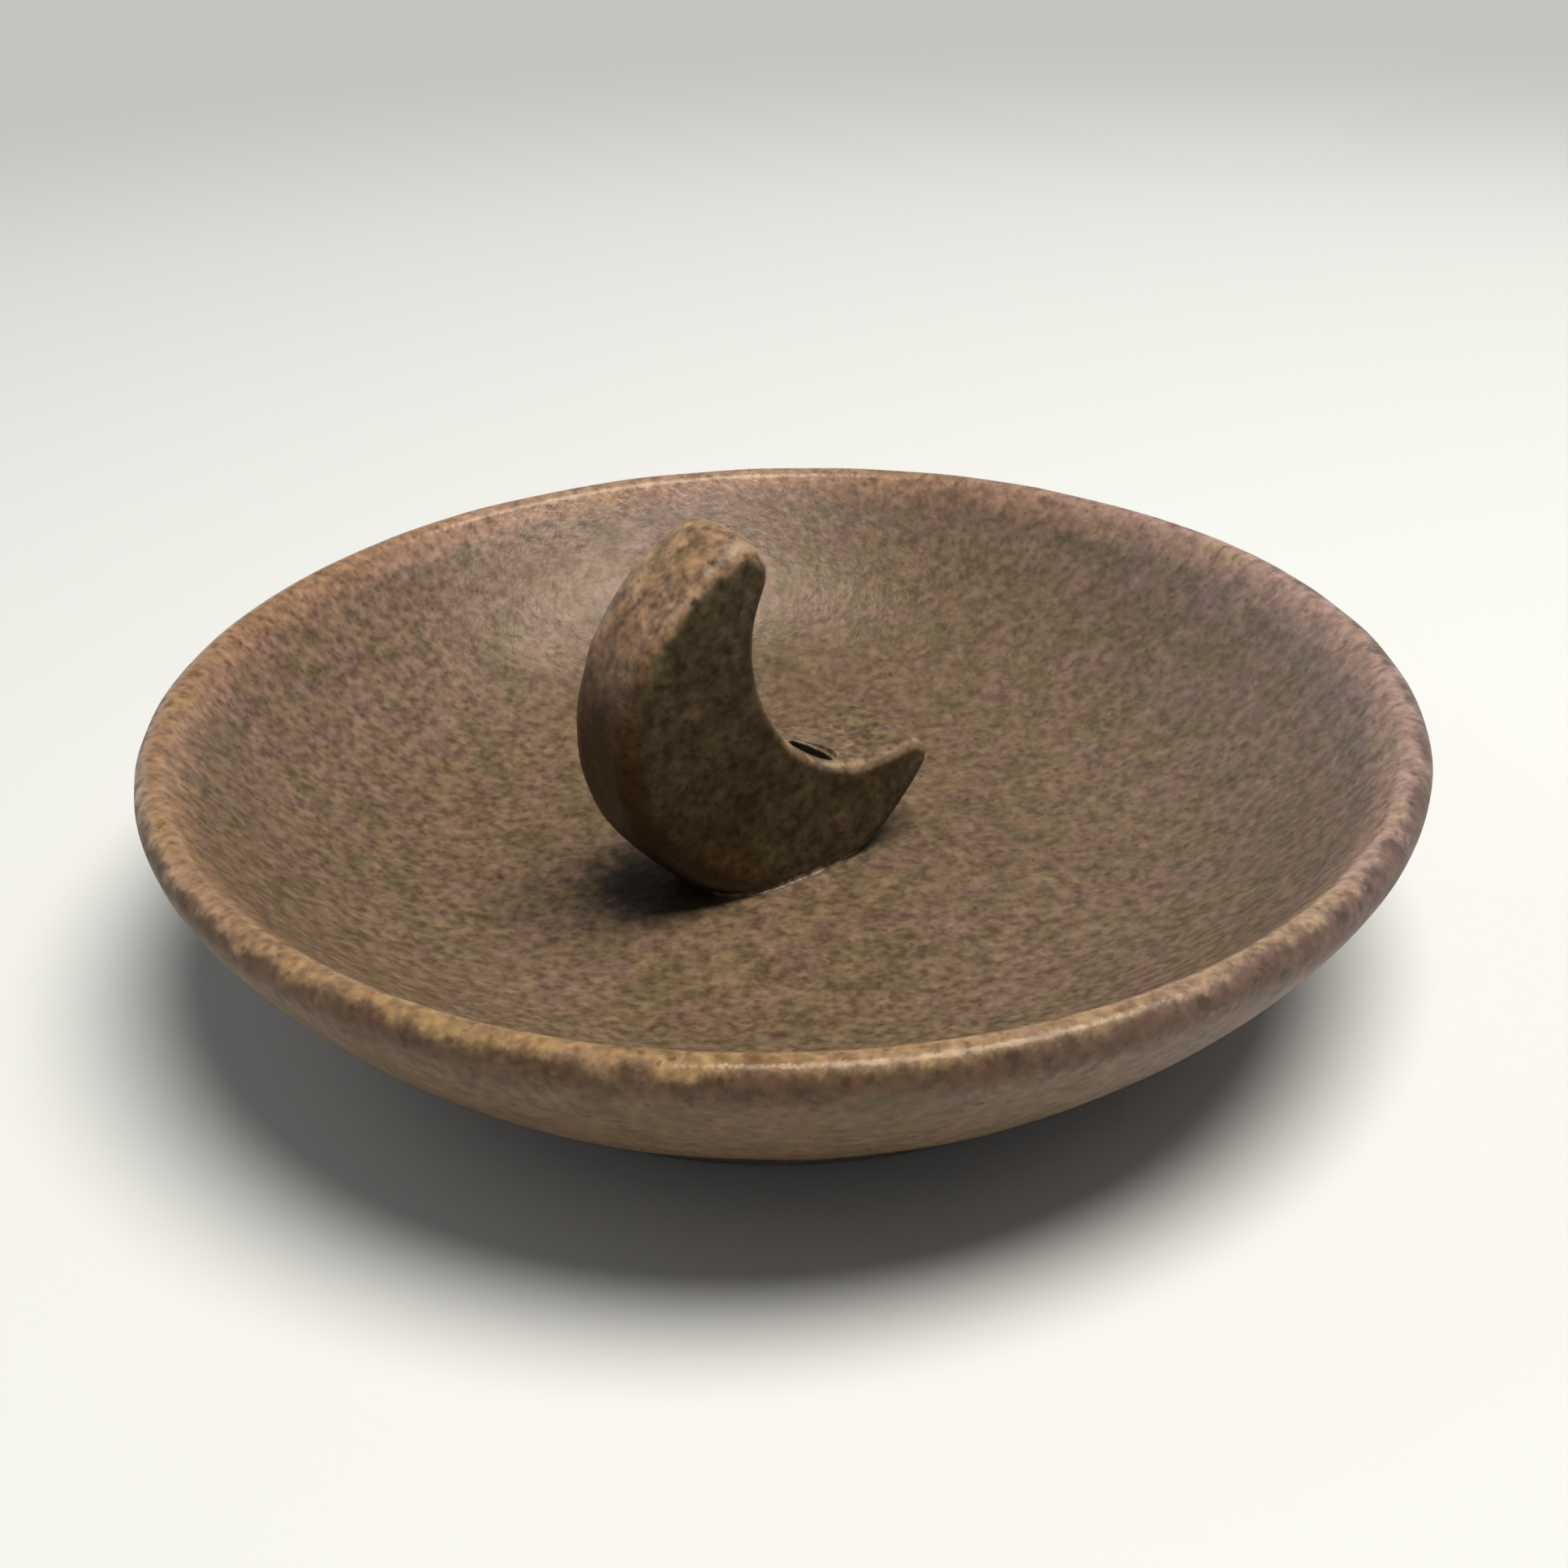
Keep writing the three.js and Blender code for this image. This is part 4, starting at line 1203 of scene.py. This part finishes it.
def slip_surface():
    """Rings in the crescent's own frame, from under the bed out to the floor's edge, up the fillet and
    in over the bed. The fillet is a quarter of an ellipse hollowed out of the corner, and its width
    and height wander with the angle."""
    angle = np.linspace(0, 2 * np.pi, STEPS_AROUND_SLIP, endpoint=False)
    circle = np.stack([np.cos(angle), np.sin(angle), 0 * angle], -1)
    wander = unevenness(circle, BEAD_LUMPS)
    floor = FLOOR_HEIGHT - moon_bottom
    top = floor + BEAD_HEIGHT * (BEAD_HEIGHT_EVEN + BEAD_HEIGHT_WANDER * wander)
    foot = foot_reach(angle, 0)
    contact = foot_reach(angle, top) + BED_GAP
    width = BEAD_WIDTH * (BEAD_WIDTH_EVEN + BEAD_WIDTH_WANDER * wander)
    edge = floor + EDGE_HEIGHT
    turn = np.linspace(math.pi / 2, 0, STEPS_DOWN_FILLET)[:, None]
    reach = np.concatenate([[contact + width], contact + width * (1 - np.cos(turn)), [foot, foot / 2]])
    height = np.concatenate([[0 * angle + floor], edge + (top - edge) * (1 - np.sin(turn)),
                             [0 * angle - BED_GAP, 0 * angle - BED_GAP]])
    rings = np.stack([reach * np.cos(angle), height, -reach * np.sin(angle)], -1)
    poles = np.array([[0, floor, 0], [0, -BED_GAP, 0]])
    return np.concatenate([rings.reshape(-1, 3), poles])


# %% Make the slip
# Painted glint along the front of the slip, and painted shade at its back end.
SLIP_PAINTED_GLINT = (0.52, 0.42, 0.31, 1.0)
SLIP_PAINTED_SHADE = (0.06, 0.04, 0.025, 1.0)
SLIP_PATCHES = (1.2, 2.0, 0.6, 29.0)
SLIP_PATCH_EDGE = (0.35, 0.6)
SLIP_GLINT_FROM = (-6.0, -2.0)
SLIP_STRENGTH = 0.7
SLIP_GLOSS = (0.2, 0.3)


def mix_slip_finish():
    """The glaze on the slip: the same coat, smoother, with a painted glint in patches towards the lower
    horn, and painted shade at the back, under the crescent's round back."""
    material, tree, place = begin_material("slip_glaze")
    x = put(tree, "ShaderNodeSeparateXYZ", {0: place}).outputs[0]
    patches = ease(tree, cloud(tree, place, *SLIP_PATCHES), *SLIP_PATCH_EDGE)
    pale = blend(tree, patches, SLIP_PAINTED_SHADE, SLIP_PAINTED_GLINT)
    tone = blend(tree, ease(tree, x, *SLIP_GLINT_FROM), SLIP_PAINTED_SHADE, pale)
    colour = blend(tree, SLIP_STRENGTH, glaze_colour(tree, place, 0.0, 0.0, place), tone)
    put(tree, "ShaderNodeOutputMaterial", {"Surface": glaze_coat(tree, place, colour, SLIP_GLOSS)})
    return material


places = stand_up(slip_surface())
rings = (len(places) - 2) // STEPS_AROUND_SLIP
slip_bead = make_piece("slip_bead", places, pole_faces(rings, STEPS_AROUND_SLIP), mix_slip_finish())
slip_bead.data.set_sharp_from_angle(angle=SHARP_ANGLE)
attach(slip_bead, "root")
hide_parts("joining_slip")
